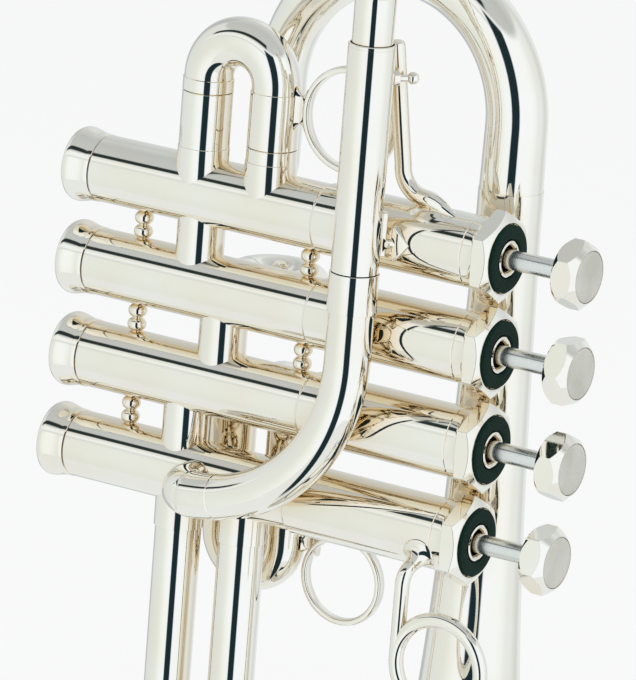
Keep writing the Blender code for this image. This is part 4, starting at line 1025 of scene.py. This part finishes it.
def math_node(tree, operation, *values):
    """A math node of numbers or other nodes' outputs."""
    made = node(tree, "ShaderNodeMath", operation=operation)
    for k, value in enumerate(values):
        if isinstance(value, (int, float)):
            made.inputs[k].default_value = value
        else:
            tree.links.new(value, made.inputs[k])
    return made.outputs[0]


def mixed_shaders(tree, factor, first, second):
    """Mixes two shader nodes by a factor."""
    made = node(tree, "ShaderNodeMixShader")
    for k, output in enumerate((factor, first.outputs[0], second.outputs[0])):
        tree.links.new(output, made.inputs[k])
    return made


def window(tree, value, centre, half, soft):
    """1 inside centre plus or minus half, falling to 0 over soft."""
    away = math_node(tree, "ABSOLUTE", math_node(tree, "SUBTRACT", value, centre))
    return between(tree, away, 1, 0, half - soft, half + soft, "SMOOTHSTEP")


def ramp_of(tree, value, low, high, stops):
    """A colour ramp over low to high; stops are (value, level, coolness) as polished silver shows them."""
    share = between(tree, value, 0, 1, low, high)
    made = node(tree, "ShaderNodeValToRGB")
    tree.links.new(share, made.inputs[0])
    elements = made.color_ramp.elements
    while len(elements) > 1:
        elements.remove(elements[-1])
    for k, (at, level, cool) in enumerate(stops):
        place = (at - low) / (high - low)
        element = elements[0] if k == 0 else elements.new(place)
        element.position = place
        seen = (0.975 * level, level, (0.90 + 0.10 * cool) * level)
        element.color = (*(c / t for c, t in zip(seen, SILVER_TINT)), 1)
    return made.outputs["Color"]


# The walls by degrees round from the camera, and the ceiling by tilt
WALLS = (
    (-180, 0.66, 0.5), (-160, 0.50, 0.6), (-146, 0.50, 0.6), (-135, 0.72, 0.5), (-95, 0.76, 0.2),
    (-68, 0.79, 0.0), (-50, 0.88, 0.2), (-38, 0.93, 0.4), (-25, 0.92, 1.0), (20, 0.94, 1.0),
    (57, 0.94, 0.7), (72, 0.90, 0.6), (85, 0.83, 0.6), (105, 0.80, 0.6), (118, 0.71, 0.6),
    (130, 0.67, 0.6), (143, 0.79, 0.5), (166, 0.79, 0.5), (180, 0.66, 0.5),
)
CEILING = (
    (0, 0.545, 0.5), (70, 0.545, 0.5), (100, 0.52, 0.5), (128, 0.62, 0.5), (145, 0.69, 0.5), (180, 0.71, 0.5),
)
CEILING_FROM, CEILING_FULL = 0.62, 0.72  # upward share of the direction
# Windows are (middle, half width, softness), in degrees or as a share of the direction.
SLOT_ROUND, SLOT_HEIGHT = (-4, 14.3, 2.2), (-0.18, 0.80, 0.03)
BAR_TILT, BAR_LENGTH = (53, 6, 2), (-0.275, 0.575, 0.03)
BRIGHT_TILT, GREY_TILT, LINES_LENGTH = (36, 3, 2), (28, 2.5, 2), (-0.30, 0.60, 0.05)
SLOT_COLOUR, BAR_COLOUR = (0.012, 0.028, 0.036), (0.022, 0.032, 0.034)
BRIGHT_COLOUR, GREY_COLOUR, DEEP_COLOUR = (0.92, 0.96, 0.99), (0.74, 0.79, 0.80), (0.83, 0.875, 0.90)
DEEP_UNDER = -0.65
BACKDROP, FLOOR_GLOW = (0.939, 0.939, 0.939, 1), 0.80


def studio_world():
    """White walls with a slot for the camera and a dark bar, for reflections; plain white for the rest."""
    world = bpy.data.worlds.new("studio")
    bpy.context.scene.world = world
    world.use_nodes = True
    tree = world.node_tree
    tree.nodes.clear()
    out = node(tree, "ShaderNodeOutputWorld")
    way = node(tree, "ShaderNodeTexCoord")
    split = node(tree, "ShaderNodeSeparateXYZ")
    tree.links.new(way.outputs["Generated"], split.inputs[0])
    x, y, z = split.outputs
    back = math_node(tree, "MULTIPLY", y, -1.0)
    azimuth = math_node(tree, "DEGREES", math_node(tree, "ARCTAN2", x, back))
    from_camera = math_node(tree, "SUBTRACT", azimuth, CAMERA_AZIMUTH)
    round_the_wall = math_node(tree, "WRAP", from_camera, 180, -180)
    tilt = math_node(tree, "DEGREES", math_node(tree, "ARCTAN2", z, back))
    walls = ramp_of(tree, round_the_wall, -180, 180, WALLS)
    # A brighter line and a greyer one lie under the bar.
    left = window(tree, x, *LINES_LENGTH)
    for tilts, colour in ((BRIGHT_TILT, BRIGHT_COLOUR), (GREY_TILT, GREY_COLOUR)):
        walls = mixed(tree, math_node(tree, "MULTIPLY", left, window(tree, tilt, *tilts)), walls, colour)
    walls = mixed(tree, math_node(tree, "LESS_THAN", z, DEEP_UNDER), walls, DEEP_COLOUR)
    # The ceiling is greyer than the walls, and lighter again toward the far side.
    high = between(tree, z, 0, 1, CEILING_FROM, CEILING_FULL, "SMOOTHSTEP")
    ceiling = ramp_of(tree, math_node(tree, "ABSOLUTE", tilt), 0, 180, CEILING)
    room = mixed(tree, high, walls, ceiling)
    # The slot for the camera, and the bar, level and parallel to the valves
    slot_round, slot_height = window(tree, round_the_wall, *SLOT_ROUND), window(tree, z, *SLOT_HEIGHT)
    slotted = mixed(tree, math_node(tree, "MULTIPLY", slot_round, slot_height), room, SLOT_COLOUR)
    bar_tilt, bar_length = window(tree, tilt, *BAR_TILT), window(tree, x, *BAR_LENGTH)
    barred = mixed(tree, math_node(tree, "MULTIPLY", bar_tilt, bar_length), slotted, BAR_COLOUR)
    seen = node(tree, "ShaderNodeLightPath")
    reflected = node(tree, "ShaderNodeBackground")
    tree.links.new(barred, reflected.inputs["Color"])
    plain = node(tree, "ShaderNodeBackground", Color=(0.92, 0.93, 0.94, 1))
    shown = node(tree, "ShaderNodeBackground", Color=BACKDROP)
    lit = mixed_shaders(tree, seen.outputs["Is Glossy Ray"], plain, reflected)
    mix = mixed_shaders(tree, seen.outputs["Is Camera Ray"], lit, shown)
    tree.links.new(mix.outputs[0], out.inputs["Surface"])


def floor():
    """White for the camera, with the object's shadow kept; the walls' light is what metal sees."""
    mesh = bpy.data.meshes.new("floor")
    size = 6.0
    corners = [(-size, -size, 0), (size, -size, 0), (size, size, 0), (-size, size, 0)]
    mesh.from_pydata(corners, [], [(0, 1, 2, 3)])
    obj = bpy.data.objects.new("floor", mesh)
    bpy.context.scene.collection.objects.link(obj)
    obj.location.z = -0.0002
    made = bpy.data.materials.new("floor")
    made.use_nodes = True
    tree = made.node_tree
    tree.nodes.clear()
    out = node(tree, "ShaderNodeOutputMaterial")
    dull = node(tree, "ShaderNodeBsdfDiffuse", Color=(0.90, 0.90, 0.90, 1))
    glow = node(tree, "ShaderNodeEmission", Color=BACKDROP, Strength=1.0)
    seen = node(tree, "ShaderNodeLightPath")
    share = math_node(tree, "MULTIPLY", seen.outputs["Is Camera Ray"], FLOOR_GLOW)
    mix = mixed_shaders(tree, share, dull, glow)
    tree.links.new(mix.outputs[0], out.inputs["Surface"])
    mesh.materials.append(made)
    obj.visible_glossy = False


def key_light():
    """A soft overhead panel that the felts, discs and floor answer to; the metal sees only the walls."""
    data = bpy.data.lights.new("key", "AREA")
    data.shape = "RECTANGLE"
    data.size, data.size_y = KEY_SIZE
    data.energy = KEY_WATTS
    obj = bpy.data.objects.new("key", data)
    bpy.context.scene.collection.objects.link(obj)
    obj.location = KEY_PLACE
    obj.rotation_euler = (Vector(KEY_PLACE) - Vector(KEY_AIM)).to_track_quat("Z", "Y").to_euler()
    obj.visible_glossy = False


def camera():
    data = bpy.data.cameras.new("camera")
    data.sensor_fit = "HORIZONTAL"
    data.sensor_width = 36
    data.lens = LENS
    data.clip_start, data.clip_end = 0.05, 20
    obj = bpy.data.objects.new("camera", data)
    bpy.context.scene.collection.objects.link(obj)
    columns = (CAMERA_RIGHT, -CAMERA_DOWN, -CAMERA_AHEAD)
    turn = Matrix([[c[k] for c in columns] for k in range(3)]).to_4x4()
    obj.matrix_world = Matrix.Translation(CAMERA_PLACE) @ turn
    bpy.context.scene.camera = obj


def build():
    for i in range(4):
        casing(i)
        bottom_cap(i)
        top_cap(i)
        felt(i)
        stem(i)
        button(i)
        # The CAD's own pistons and springs are kept, in these materials.
        for name, material in (("piston", MONEL), ("spring", STEEL)):
            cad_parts[f"valve_{i + 1}_{name}"].material_slots[0].material = material
    for k, x in enumerate(CROSSOVER_XS):
        crossover(k, x)
    for i in (1, 2, 3):
        for n, x in enumerate(BALUSTER_XS):
            baluster(i, x, n + 1)
    first_slide()
    second_slide()
    third_slide()
    fourth_slide()
    thumb_centre = (CAPS_X + 0.0826, FIRST_Y, Z1 + 0.027)
    ring("thumb", "first_slide", thumb_centre, 0.014, FIRST_XS[1], LEG_R, 0, 0.0115)
    finger_r = 0.01235
    finger_centre = (THIRD_XS[1] + FERRULE_R + 0.0005 + finger_r, THIRD_Y, Z4 - 0.025)
    ring("finger", "third_slide", finger_centre, finger_r, THIRD_XS[1], FERRULE_R, 0.0084, 0.008)
    bell()
    bow()
    leadpipe()
    crook()
    screw()
    braces()
    rod()
    hook()


build()
studio_world()
floor()
key_light()
camera()
bpy.context.scene.view_settings.view_transform = "Standard"
